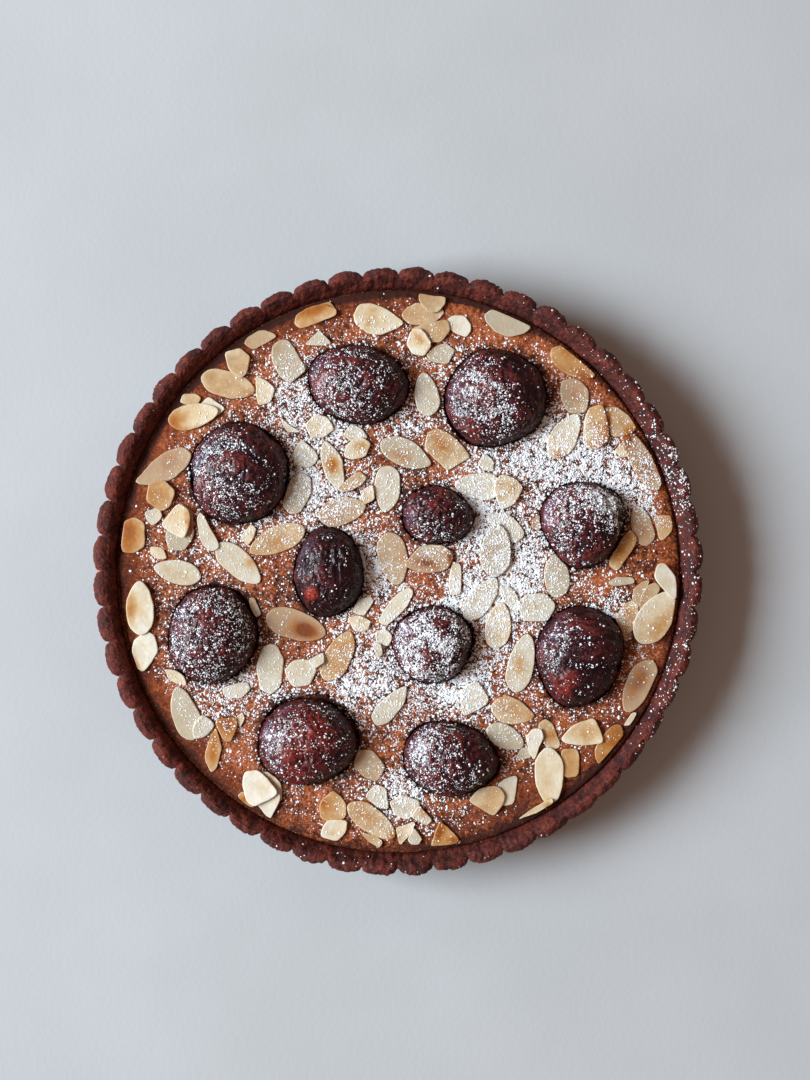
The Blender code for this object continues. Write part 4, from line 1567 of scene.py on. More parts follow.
# Whole flakes: middle x and y, length, width, direction of the pointed end, flakes beneath, tone.
WHOLE_FLAKES = (
    (-67, 73.7, 22, 10.8, -14, 0, T), (-80.6, 61, 20.8, 9.8, 12, 1, C), (11.2, 69.5, 17.8, 9.8, 98, 0, P),
    (3, 46.5, 21.5, 11, -24, 0, G), (68.8, 82, 20.5, 9.8, -33, 1, A), (65.5, 53.2, 19.4, 10.6, 58, 0, C),
    (-87, -0.4, 19, 9.6, 168, 0, P), (-101.6, -14.4, 21.8, 11, 92, 1, W), (-63, 3.2, 22.5, 10.8, -42, 0, P),
    (-47.6, 12.4, 23.5, 10.6, 203, 1, T), (-40.3, -21.2, 25, 12, -18, 0, D), (-4.3, 32.6, 19, 10.6, 266, 1, P),
    (-22, 22.8, 19.5, 11, 15, 0, D), (31.6, 33.6, 19.4, 10.4, 176, 0, P), (-2, 4.8, 21.4, 12, -80, 0, D),
    (-23.6, -33.6, 21.5, 11, 62, 0, O), (38.4, 8.2, 21.2, 12, 84, 1, G), (32, -11.4, 20.5, 9.8, 54, 0, P),
    (39.6, -21.4, 18.4, 10.2, 82, 1, C), (48.9, -36.2, 23.8, 10.4, 78, 0, P),
    # The flake at (88.4, -20.8) has a paler tone than its own: painted light where chestnut 9 shades it.
    (63.2, -0.6, 17.8, 9.8, 94, 0, G), (96, 17.8, 16.5, 9.2, 105, 0, D), (88.4, -20.8, 17.8, 8, 250, 0, T),
    (101.4, -18, 24, 14, 56, 2, C), (-84, -56, 22, 10.8, 108, 0, G), (-10.4, -98.2, 22.4, 10.2, -36, 1, T),
    (42.4, -65.4, 16.2, 9.4, -24, 0, G), (59.5, -80.9, 23.2, 11.4, 273, 1, C),
    (83.6, -68.4, 17.6, 9.2, 64, 0, A), (95, -45.2, 23, 11, 242, 0, D),
)
# The outline of a whole flake, one long and one wide.
WHOLE_OUTLINE = (
    (0.5, 0), (0.34, 0.31), (0.02, 0.49), (-0.32, 0.42), (-0.5, 0), (-0.32, -0.42), (0.02, -0.49),
    (0.34, -0.31),
)

# Broken and angular flakes: flakes beneath, tone, then x and y of each corner.
BROKEN_FLAKES = (
    (0, D, -61, 90, -57.5, 94, -53, 95.2, -47.8, 92.8, -52, 89.6, -57, 87.4),
    (1, T, -68.6, 86.6, -62, 87.8, -58, 84.4, -59.4, 78, -62, 76, -67, 79.5),
    (0, T, -86, 66.5, -85, 70, -80, 69.8, -77.5, 68, -80, 64),
    (0, W, -79, 65, -74.5, 69.3, -67.6, 64.3, -71.5, 61, -77, 62),
    (0, C, -56, 77, -52.6, 75.4, -48.4, 72, -50.4, 66.6, -54.8, 65.2, -56, 70),
    (0, O, -33.5, 104, -30.6, 107, -26, 105.6, -24, 102, -29, 100),
    (1, O, -41, 97.6, -40, 100.8, -35, 104.2, -29, 105.2, -24.4, 103.4, -24.4, 100.6, -30, 98.2, -38.4, 95.4),
    (0, P, -36.4, 89, -31, 95.3, -26.4, 90, -30, 88.8),
    (0, G, -49.6, 88.6, -46.6, 91.4, -43, 90.8, -40, 86.4, -36.2, 79.2, -42.6, 74.2, -46.6, 76.6, -49.4, 82),
    (0, C, -17.8, 101, -15.6, 105, -11, 106, -5, 103.6, 2.6, 98.4, -0.6, 95.4, -6, 93, -12, 94, -16.4, 97.2),
    (0, T, 1.2, 101, 3.6, 104.4, 8, 105.8, 18.8, 102.4, 15, 98.6, 9, 97, 4, 97.4),
    (1, T, 8, 106.4, 8.6, 109.4, 18.8, 108, 18.4, 105, 16, 102.4, 13, 101.6, 10.6, 103.2),
    (0, W, 19.4, 99.6, 22, 101.2, 26, 100.8, 28.6, 97.4, 28.4, 94, 26.6, 91.8, 22.4, 93.4, 19.8, 96),
    (0, T, 5, 95.4, 12, 98.2, 19.2, 99, 20.6, 94.6, 16.8, 90, 9.5, 90.5),
    (1, C, 3.2, 90, 5.4, 95, 8.8, 95.4, 11, 93, 13, 88.6, 10.2, 84.8, 5.6, 85.6),
    (0, G, 11, 85.4, 14, 88.6, 19.4, 89.8, 22.6, 87, 19.4, 81.6, 13, 82.4),
    (0, G, 34.2, 101.2, 36.8, 103.2, 42, 102.4, 48, 100, 52.8, 96, 50, 93.2, 44.6, 92, 38.6, 94, 34.6, 98),
    (1, T, 10.4, 49.4, 11.6, 54.4, 16, 56.4, 22, 53.6, 28.8, 44.8, 22.6, 41.4, 19.4, 40, 14, 44.6),
    (0, P, -21.4, 54.6, -18, 59.6, -14, 57, -12, 53.4, -16, 50),
    (1, C, -21.6, 45.4, -20.2, 50, -15, 52.8, -10.8, 50.6, -12.4, 45.2, -18, 43.8),
    (0, P, -42, 46, -38, 52, -33, 48, -31.8, 44, -35, 40.8, -41, 42),
    (0, P, -31, 46, -28.8, 52, -25.6, 49.6, -22.2, 44, -21.2, 36, -24, 31.4, -29, 38),
    (0, C, -37, 57.5, -33, 61.4, -27.6, 60.4, -25, 56, -29, 52.6, -34.5, 53.2),
    (0, W, -46.6, 60.8, -43, 58, -38.4, 54.6, -43.6, 54.8),
    (0, P, 31.2, 43, 34, 46.8, 37.8, 44, 37.6, 39.6, 33, 40.2),
    (0, D, 64, 69, 64.2, 75, 71, 76, 75.2, 71, 74, 62.5, 67, 62.5),
    (1, O, 72.4, 51, 73.2, 59, 75.2, 64.8, 80.6, 65.8, 82.6, 58.4, 83.4, 51.6, 79.6, 48.6, 75, 48.2),
    (0, T, 80.5, 64, 86, 65, 90, 61.8, 95, 58.2, 91.4, 53.8, 85, 53, 82.6, 55),
    (1, D, 88.4, 49, 91.6, 54.8, 96, 51, 101.2, 43.6, 104.4, 36, 102.6, 31.4, 98, 32.6, 93.4, 39, 90, 45),
    (0, C, 85.2, 47.6, 89.6, 51.4, 90.6, 45.4, 87.4, 45),
    (0, D, -103, 34.6, -97, 42, -91, 46.8, -83.6, 48.8, -80.2, 46, -81.6, 41.4, -87, 36.2, -95, 33.6),
    (1, O, -98.2, 34.6, -92, 35.6, -87.6, 31.6, -89.5, 25.6, -93.6, 23.8, -98.8, 27.5),
    (0, P, -99.4, 23.6, -94, 25, -93, 21.5, -96.8, 18, -99, 20.6),
    (0, O, -109.3, 19, -103.6, 21.4, -100, 19.2, -99.8, 10, -103.5, 7.2, -109.2, 7.6),
    (1, C, -93.6, 18, -86.5, 27, -82.3, 24, -82, 17.5, -84.6, 12.8),
    (0, G, -85.5, 27, -81, 24, -80.6, 14, -84, 8, -90.5, 8.6, -92, 14, -90, 20),
    (0, P, -79.5, 20, -77.6, 23.6, -70.3, 9.6, -73.5, 7.7, -77.5, 10.6),
    (0, C, -97.6, 9.8, -92.6, 9.6, -91.2, 5, -94, 4.4, -97.8, 6.4),
    (0, W, -104.2, -27, -98.6, -23.6, -96, -25.4, -94.4, -31.6, -97, -36.6, -101, -39.6, -104.6, -37, -105,
        -31),
    (0, C, -92, -38.6, -87.6, -38.6, -84.2, -40.6, -83.4, -44.4, -87.6, -44, -90.6, -42.4),
    (0, C, -62, 13.5, -58.2, 18.4, -55.8, 16.8, -57.4, 12.6, -59.6, 9.6),
    (0, C, -59, -10.6, -56.8, -10.8, -54.4, -17, -56.6, -18.2, -58.6, -14.6),
    (0, P, -53.6, -30, -50.5, -28.6, -47.4, -29.6, -45.2, -35, -46.2, -45, -50, -48.6, -55, -46.4, -55.8, -38),
    (0, P, -44.6, -39, -41, -35, -34, -34.6, -32, -39, -34.5, -45, -41.6, -45.6),
    (0, P, -35, -34.6, -29.6, -32, -29, -36, -32.6, -38.4),
    (0, G, -42.6, 36.6, -38, 39, -34.4, 36.6, -34, 31, -38.6, 23, -43, 22.6, -45.6, 27),
    (0, T, -24, 32, -20.4, 36, -15.4, 39.4, -12, 37.4, -15, 33.6, -20.4, 30.8),
    (0, C, -15, 31.5, -10, 34, -9, 28.6, -13, 26.4),
    (1, D, 2.4, 2.8, 5.2, 6.2, 8.2, 9.6, 13, 10.4, 18, 10, 21.4, 7.5, 21.6, 4, 19, 0.6, 13, -0.8, 7, 0),
    (0, W, 21.6, 4, 24.8, 3, 25.2, -4, 24.4, -9.2, 20.5, -9, 20, -2),
    (0, W, 4.2, -5.8, 6, -7.8, 4.4, -13, 0.2, -17.4, -4.6, -21.4, -8, -20, -5.6, -15.4, -1, -9.6),
    (0, W, -10.6, -9.6, -9.6, -12, -13.6, -17.8, -18, -16.2, -16, -11.6),
    (1, C, -20, -18.8, -15, -17.2, -10.4, -19.4, -12, -23, -17, -24),
    (0, W, -8.4, -24, -4.5, -22.6, -1.6, -25.4, -2.8, -30, -7.4, -29),
    (0, P, -10.2, -28, -6.4, -28.6, -6, -33, -8.6, -34.6),
    (0, C, 37.8, 35, 41, 38.4, 46.4, 36.6, 49.4, 32.6, 45.6, 26.6, 40.4, 24, 38.2, 29),
    (0, P, 34, 22, 41.5, 23.2, 46.5, 20.2, 50.4, 14.4, 46.5, 11, 41, 15),
    (0, P, 40, -5.6, 44.5, -6.4, 48, -11, 47, -17, 41, -12),
    (0, P, 46.5, -13, 50.5, -9, 58, -8.6, 62.2, -14, 58.6, -19.8, 50, -19.6),
    (0, D, 54, 19.6, 57, 22, 59, 18.6, 56.8, 15.8, 54, 16.8),
    # Paler tone than its own: painted light where chestnut 5 shades it.
    (0, O, 90, 17.4, 92.8, 12.4, 85.4, 0.4, 81.6, 3.4, 85.4, 11.6),
    (0, O, 100.4, 21.6, 108, 21.6, 108.2, 16, 103.8, 11.6),
    (3, W, 102, 2.6, 104.6, 3.2, 109.4, -2, 109, -10.4, 107.4, -11.2, 101, -2.6),
    (0, D, 92.4, -11, 93, -7.2, 96.4, -4, 99, -3.6, 96.4, -10, 94.6, -14.2),
    (1, T, 95.4, -9.6, 98.6, -5, 101.6, -4.2, 103.4, -7, 97.6, -15.4, 95, -15.6),
    (0, G, 82.8, -4.2, 86, -2.2, 92.6, -2.6, 93.4, -4.8, 88, -5.8, 84, -5.8),
    (1, W, -80.8, -61, -76.6, -56, -72, -60.4, -76, -65.2, -80.4, -65.8),
    (1, A, -72, -58.6, -64, -57.3, -63, -61, -66, -67, -68.8, -66.8),
    (0, C, -64, -58, -61.2, -55.4, -60.4, -58.6, -62.2, -61.4),
    (0, O, -71.6, -61.4, -69.6, -69, -71.4, -77.4, -73.6, -79.4, -76.1, -73, -74.2, -65),
    (1, W, -60.2, -79, -54.5, -78.2, -46.6, -87, -56, -92.6, -59.4, -91, -61.4, -84),
    (0, C, -53, -78.6, -48.6, -78.4, -44.4, -83, -44.8, -89.4, -50, -88),
    (0, W, -56, -91, -49.6, -86.6, -46, -88, -50.2, -97.8, -52.4, -96),
    (0, O, -63.4, -88.6, -61, -86.6, -56.6, -89.8, -57.2, -93, -59.6, -92.6),
    (0, P, -69.6, -46.6, -65.4, -44.4, -59.4, -43, -58, -46.4, -62, -50.2, -68, -50),
    (0, D, -16, -70.6, -10, -70.6, -5, -77, -8.4, -83, -13, -81.6, -17.4, -77),
    (0, P, -13, -88.4, -9, -84, -4.8, -85.4, -3.8, -93.6, -8.6, -93),
    (0, P, -3.2, -91, 1, -88, 8, -90.2, 8.8, -94.4, 3.4, -97.6, -1.4, -96),
    (1, C, 8, -91.6, 13.6, -98, 11.4, -100.2, 5.2, -97),
    (0, C, -1.2, -101, 6.5, -98.4, 5, -103.2, 1, -108),
    (0, P, 3.4, -106, 6.2, -101, 9.4, -105, 8, -107.4, 4.6, -107.6),
    (0, O, 16.5, -97.8, 24.6, -106, 21, -107.6, 12.6, -108.4, 14.6, -103),
    (0, O, -30.8, -97, -30.6, -91, -25.6, -86.4, -20.4, -91, -20.6, -97, -26, -99.4),
    (1, C, -28.4, -98, -20, -97.6, -20.4, -102.6, -24, -106.6, -30.8, -104.6),
    (0, T, -15, -102.4, -9, -104, -6, -107, -7.4, -109.2, -12, -106.4),
    (0, P, 3.6, -45.2, 2.6, -52, -3.6, -60, -9, -61, -10.8, -57, -8.6, -52.4, -2.4, -47.6),
    (0, P, 25, -46.4, 31, -42.8, 36, -51.4, 26, -57.6, 24.6, -51),
    (1, T, 36.2, -53.6, 39, -50, 43.6, -48.8, 48.6, -51.6, 54, -56.6, 51.6, -59, 46, -60.2, 40.4, -59.6, 37.6,
        -57),
    (0, G, 46.6, -73.2, 48.6, -69.6, 52.4, -70, 52.2, -73.6, 49, -74.4),
    (2, W, 50, -65.4, 52.6, -62, 56.4, -62, 57.4, -65.4, 53.6, -74.2, 51.2, -70.4),
    (0, T, 55, -60.4, 58, -58, 61, -60.2, 64.4, -69, 60, -71, 56.4, -66),
    (0, C, 64, -66, 69, -60.2, 77, -57.4, 81.2, -67, 73, -68.6, 66, -67.6),
    (0, O, 64, -70.4, 71.2, -70.2, 71, -80.6, 65.4, -81),
    (0, C, 94, -55.8, 92.2, -56, 89, -61, 91.4, -60.8),
    (1, T, 27.2, -90, 31.2, -85.4, 39, -84, 41.6, -87.4, 40.8, -91, 37.4, -95.6, 31, -92.4),
    (0, P, 39, -83.6, 47.6, -80.6, 45.6, -91.8, 40, -92.8),
    (1, C, 47.2, -97.8, 53, -93.4, 60.2, -89.4, 60.8, -91.2, 54.4, -95.2),
)

# Toasted spots on the flakes: middle x and y, length, width, direction, strength.
TOASTED = (
    (-35.8, -23.4, 13, 7.4, -20, 0.6), (68.8, 82, 16, 8, -33, -0.12), (-88, 42, 14, 8, 25, 0.2),
    (72, -63, 12, 8, 0, 0.24), (-47, 11, 20, 6, 23, 0.15), (-101, -14, 16, 8, 92, 0.1),
    (-56, -85, 8, 8, 0, 0.06), (-84, -1, 8, 8, 0, 0.12), (-42, 82, 8, 6, 0, 0.15),
    (97.5, 43, 14, 7, -55, 0.25), (-22, 22.8, 12, 8, 15, 0.12), (10.5, 3.3, 12, 4.2, -8, 0.42),
    (21, 5.5, 3, 6, 0, 0.6), (-91, 0.4, 6, 4, 0, 0.22), (-57.6, 3.4, 6, 4, -40, 0.4), (64, 46, 4, 3, 0, 0.6),
    (97.4, 37, 6, 6, 0, 0.3), (90.6, 50.6, 5, 4, 30, 0.5), (92, 53, 5, 4, 0, 0.2), (96.5, 14, 9, 6, 105, 0.2),
    (70, 69, 8, 8, 0, 0.15), (-1.6, -104.8, 5, 4, -36, 0.5), (-14, -95, 12, 3, -36, 0.15),
    (59.6, -92.2, 4, 3, 0, 0.7), (96, -41, 9, 6, 62, 0.36), (92, -49, 8, 5, 62, 0.2),
    (-104.4, -36.5, 10, 3.6, -66, 0.75), (-105.6, -16, 16, 5, 94, 0.5), (-74, 75.5, 7, 7, 0, 0.2),
    (-57.5, 69, 4, 4, 0, 0.3), (-88.5, 59, 9, 8, 16, 0.7), (-84, 55.8, 12, 2.5, 8, 0.35),
    (-47.4, 88, 6, 6, 0, 0.35), (-44, 79, 4, 3, 0, 0.2), (-33, 103.2, 16, 4, 20, 0.3),
    (-16, 101.5, 4, 8, -10, 0.05), (-11.6, 98.5, 2.5, 9, -25, 0.35), (-25.8, 41.4, 5.4, 8, 15, 0.65),
    (-42.6, 26, 5, 4, 0, 0.2), (-106.4, 14, 7, 13, 0, 0.28), (-82.2, 19, 3, 13, 8, 0.6),
    (86.5, 8, 10, 5, 65, 0.15), (82.8, 2.6, 4, 5, 65, -0.2), (-67.5, -61, 6, 6, 0, 0.2),
    (-72.6, -70, 3, 12, 0, 0.25), (-28.5, -92, 6, 5, 0, 0.2), (38.5, -26, 8, 4, 0, 0.2),
    (47.6, -37, 5, 8, -10, 0.35), (0.5, 45.4, 13, 6, -24, 0.4), (31.6, -6.6, 4, 4, 0, 0.4),
    (36.4, -5, 4, 4, 0, 0.3), (40, 12.4, 5, 4, 0, 0.3), (36, 8, 4, 4, 0, 0.25), (62, 2.4, 5, 4, 0, 0.25),
    (73, 76.6, 8, 4, -33, 0.25), (62, 84, 6, 6, 0, -0.15), (73.4, 56, 3, 14, 4, -0.3),
    (82.8, 56, 2.4, 16, 0, 0.5), (79, 50, 9, 3, 0, 0.3), (91, 55.5, 6, 4, 40, 0.3),
    (89.6, -15.5, 5, 5, 70, 0.3), (89, -25, 4, 6, 70, 0.2), (104, -21, 14, 6, 54, 0.3),
    (95, -24, 5, 8, 0, 0.2), (46, -54, 8, 5, -12, 0.1), (52.6, -57, 4, 5, 0, 0.3), (-61, -90, 4, 3, 0, 0.3),
    (16.6, -101.6, 3.4, 10, -20, 0.5), (22.4, -106, 5, 3, 0, 0.45), (61.2, -64.6, 4, 5, 0, 0.25),
    (10, -94.6, 3, 5, 40, 0.25), (-14.6, 49, 5, 5, 0, 0.25), (-51, 7.6, 12, 4, 20, -0.05),
    (17, 49, 9, 5, -50, 0.2), (-93, 28.6, 8, 6, 0, 0.1), (-10.6, -77, 5, 5, 0, -0.1),
    (57.4, -73, 3, 8, 80, 0.15), (34, -93, 6, 3, 20, 0.15), (40.4, 29, 3, 3, 0, 0.3),
    (45.6, 32.6, 4, 4, 0, 0.3), (40.6, 34, 3, 3, 0, 0.25), (51.8, 98.2, 4, 3, 0, 0.2),
    (8.4, 91.4, 5, 2.4, -50, 0.3), (12, 86, 3, 5, 0, 0.3),
)


@dataclass
class Flake:
    """One thin slice of almond."""

    outline: Array
    beneath: int
    tone: Tone
    thickness: float
    curl: float
    seed: int
    plane: Array = field(default_factory=lambda: np.zeros(3))

    def bottom(self, flat: Array) -> Array:
        """Height of the slice's underside at places (x, y)."""
        return self.plane[0] + flat[:, 0] * self.plane[1] + flat[:, 1] * self.plane[2]


@dataclass
class AlmondFlakes:
    """All the flaked almonds, each a thin slice that lies on the filling or on other flakes."""

    filling: Filling
    reach: float = 109.7
    nut_gap: float = 0.5
    most_moved: float = 1.4
    sunk: float = 0.1
    # The air between two slices, and how far a slice may sink into the highest place below it.
    slice_gap: float = 0.05
    pressed: float = 0.12
    neighbour_reach: float = 26.0
    points: int = 40
    curve_steps: int = 12
    broken_sharp: float = 0.75
    # How ragged the outlines are: width of the waves, most they move the outline.
    ragged: Rows = ((8.0, 0.5), (2.2, 0.14))
    thickness: float = 0.95
    thickness_spread: tuple[float, float] = (-0.1, 0.12)
    curls: tuple[float, float] = (-0.12, 0.4)
    wave: float = 0.16
    ripple: float = 0.05
    # The pale edge is partly the almond's own and partly painted highlight where the thin edge catches light.
    # Rings of a slice's top from its edge: inset, share, height in thicknesses, paleness, browned brink.
    top_rings: Rows = (
        (0.0, 1.0, -0.42, 1.0, 1.0),
        (0.06, 1.0, -0.14, 1.0, 1.0),
        (0.18, 1.0, -0.02, 0.9, 0.8),
        (0.5, 1.0, 0.02, 0.65, 0.35),
        (1.1, 1.0, 0.0, 0.1, 0.0),
        (1.1, 0.76, 0.0, 0.0, 0.0),
        (1.1, 0.5, 0.0, 0.0, 0.0),
        (1.1, 0.25, 0.0, 0.0, 0.0),
    )
    # Rings of its underside: inset, share, height in thicknesses.
    under_rings: Rows = (
        (0.1, 1.0, -0.8),
        (0.35, 1.0, -1.0),
        (0.0, 0.5, -1.0),
    )
    speck_size: float = 0.74
    flakes: list[Flake] = field(default_factory=list)

    def closed_curve(self, corners: Array, sharp: float) -> Array:
        """A closed outline of even steps through corners.

        Args:
            corners: The corners (x, y).
            sharp: 0 for a round curve through them, 1 for straight sides with the corners just taken off.

        Returns:
            The outline's places, anticlockwise.
        """
        fine = []
        for index in range(len(corners)):
            four = [corners[(index + step) % len(corners)] for step in (-1, 0, 1, 2)]
            for step in range(self.curve_steps):
                share = step / self.curve_steps
                straight = four[1] + (four[2] - four[1]) * share
                fine.append(on_curve(four, share) * (1.0 - sharp) + straight * sharp)
        fine = np.array(fine)
        if sharp:
            fine = sum(np.roll(fine, step, axis=0) for step in (2, 1, 0, -1, -2)) / 5.0
        steps = np.linalg.norm(np.roll(fine, -1, axis=0) - fine, axis=1)
        length = np.append(0.0, np.cumsum(steps))
        wanted = np.arange(self.points) * length[-1] / self.points
        closed = np.vstack((fine, fine[:1]))
        outline = np.column_stack([np.interp(wanted, length, closed[:, axis]) for axis in (0, 1)])
        x, y = outline.T
        if (x * np.roll(y, -1) - np.roll(x, -1) * y).sum() < 0.0:
            outline = outline[::-1]
        return outline

    def kept_clear(self, outline: Array) -> Array:
        """Moves an outline, and then the places that still need it, clear of the chestnuts and the crust.

        Args:
            outline: The outline's places (x, y).

        Returns:
            The moved outline.
        """
        for final in (False, True):
            for nut in CHESTNUTS:
                short = self.nut_gap - nut.clearance(outline)
                worst = int(short.argmax())
                if short[worst] <= 0.0:
                    continue
                away = outline - [nut.x, nut.y]
                away /= np.linalg.norm(away, axis=1)[:, None]
                if final:
                    outline = outline + away * np.maximum(short, 0.0)[:, None]
                else:
                    outline = outline + away[worst] * min(short[worst], self.most_moved)
        far = np.hypot(*outline.T)
        return outline * np.minimum(1.0, self.reach / far)[:, None]

    def settle(self, flake: Flake) -> None:
        """Lays a flake on the filling and on the flakes laid before it, as a flat slice leaning on them.

        Args:
            flake: The flake; it gets its plane.
        """
        middle = flake.outline.mean(axis=0)
        tries = np.vstack([middle + (flake.outline - middle) * share for share in (0.3, 0.65, 0.95)])
        support = self.filling.height(tries) - self.sunk
        resting = np.zeros(len(tries), bool)
        for lower in self.flakes:
            if np.linalg.norm(lower.outline.mean(axis=0) - middle) > self.neighbour_reach:
                continue
            over = inside_outline(tries, lower.outline)
            top = lower.bottom(tries) + lower.thickness + self.slice_gap
            resting |= over
            support = np.where(over, np.maximum(support, top), support)
        terms = np.column_stack((np.ones(len(tries)), tries))
        plane, *_ = np.linalg.lstsq(terms, support, rcond=None)
        if resting.any():
            plane[0] += max(0.0, float((support - terms @ plane)[resting].max()) - self.pressed)
        flake.plane = plane
        self.flakes.append(flake)

    def lay(self) -> None:
        """Makes every flake's outline and lays them from the lowest up."""
        chance = random.Random(SEED + 5)
        made = []
        for x, y, length, width, turn_deg, beneath, tone in WHOLE_FLAKES:
            turn = math.radians(turn_deg)
            shape = np.array(WHOLE_OUTLINE) * (length, width)
            spin = np.array(((math.cos(turn), math.sin(turn)), (-math.sin(turn), math.cos(turn))))
            made.append((self.closed_curve(shape @ spin + (x, y), 0.0), beneath, tone))
        for beneath, tone, *corners in BROKEN_FLAKES:
            shape = np.array(corners, float).reshape(-1, 2)
            made.append((self.closed_curve(shape, self.broken_sharp), beneath, tone))
        laid = []
        for seed, (outline, beneath, tone) in enumerate(made):
            for grain, most in self.ragged:
                bent = [noise(upright(outline), grain, 300 + seed), noise(upright(outline), grain, 500 + seed)]
                outline = outline + most * np.column_stack(bent)
            thickness = self.thickness + chance.uniform(*self.thickness_spread)
            curl = chance.uniform(*self.curls)
            laid.append(Flake(self.kept_clear(outline), beneath, tone, thickness, curl, seed))
        for flake in sorted(laid, key=lambda one: one.beneath):
            self.settle(flake)

    def toast_at(self, flat: Array) -> Array:
        """How toasted the almonds are at places (x, y).

        Args:
            flat: Places (x, y).

        Returns:
            How much more toasted than the flake's own tone.
        """
        total = np.zeros(len(flat))
        for x, y, length, width, turn_deg, strength in TOASTED:
            u, v = turned(flat, x, y, turn_deg)
            total += strength * np.exp(-3.2 * ((u / length) ** 2 + (v / width) ** 2))
        return total

    def slice_shape(self, flake: Flake, shape: Shape) -> None:
        """Adds one slice to the shape: a rounded edge, a slightly curled top and a flat underside.

        Args:
            flake: The flake.
            shape: The shape that the slice is added to.
        """
        middle = flake.outline.mean(axis=0)
        spokes = flake.outline - middle
        far = np.linalg.norm(spokes, axis=1)
        small = min(1.0, far.min() / 4.0)
        points = self.points
        _, _, top_lift, pale, brown = zip(*self.top_rings)
        _, _, under_lift = zip(*self.under_rings)
        rings = [
            [middle + spokes * (1.0 - inset * small / far)[:, None] * share for inset, share, *_ in side]
            for side in (self.top_rings, self.under_rings)
        ]
        flat = np.vstack((*rings[0], middle, *rings[1], middle))
        lift = np.concatenate((np.repeat(top_lift, points), [0.0], np.repeat(under_lift, points), [-1.0]))
        reach = np.linalg.norm(flat - middle, axis=1) / far.max()
        place = upright(flat)
        wave = noise(place, 7.0, 700 + flake.seed) * self.wave * reach
        ripple = noise(place, 2.2, 900 + flake.seed) * self.ripple * (lift > -0.1)
        curl = flake.curl * (reach**2 - 0.35)
        height = flake.bottom(flat) + flake.thickness * (1.0 + lift) + curl + wave + ripple

        top_middle = len(pale) * points
        tops = np.arange(top_middle).reshape(-1, points)
        unders = np.arange(top_middle + 1, len(flat) - 1).reshape(-1, points)
        faces = [*bands(tops, True), fan(tops[-1], top_middle, True), band(tops[0], unders[0])]
        faces += [*bands(unders), fan(unders[-1], len(flat) - 1, False)]

        def over_top(values: tuple[float, ...]) -> Array:
            """A value for each of the top's rings, and 0 elsewhere."""
            return np.append(np.repeat(values, points), np.zeros(len(flat) - top_middle))

        toast, grey = flake.tone.value
        slant = random.Random(flake.seed).uniform(0.0, math.tau)
        tilt = 0.1 * ((flat - middle) @ (math.cos(slant), math.sin(slant))) / far.max()
        variation = 0.1 * noise(place, 6.0, 1100 + flake.seed) + 0.12 * (0.5 - reach)
        variation += tilt + self.toast_at(flat)
        browned = np.clip(0.3 + 1.6 * noise(place, 5.0, 1500 + flake.seed), 0.0, 1.0)
        shape.add(
            upright(flat, height),
            np.vstack(faces),
            tone=toast + variation,
            grey=grey - np.maximum(variation - 0.1, 0.0) * 1.5,
            # Pale edge, partly painted highlight on the thin edge.
            rim=over_top(pale) * (0.6 + 0.4 * noise(place, 4.0, 1300 + flake.seed)),
            brink=(0.2 + 0.6 * toast) * browned * over_top(brown),
            dust=np.clip(1.2 * DRIFTS.amount(flat) - 0.2, 0.0, 1.0),
            open=(lift > -0.1).astype(float),
            coarse=self.speck_size,
        )

    def build(self) -> Shape:
        """Makes all the slices.

        Returns:
            One shape with masks for tone, greyness, edges, dust and open tops.
        """
        shape = Shape()
        for flake in self.flakes:
            self.slice_shape(flake, shape)
        return shape


# ---------------- powdered sugar


class Speck(Enum):
    """The shapes of the specks, with 4, 8 and 20 faces: name, node and the node's values."""

    CRUMB = (
        "crumbs",
        "GeometryNodeMeshCone",
        {"Vertices": 3, "Radius Top": 0.0, "Radius Bottom": 1.2, "Depth": 0.9},
    )
    GRAIN = ("grains", "GeometryNodeMeshUVSphere", {"Segments": 4, "Rings": 2, "Radius": 1.0})
    LUMP = ("lumps", "GeometryNodeMeshIcoSphere", {"Radius": 1.0, "Subdivisions": 1})


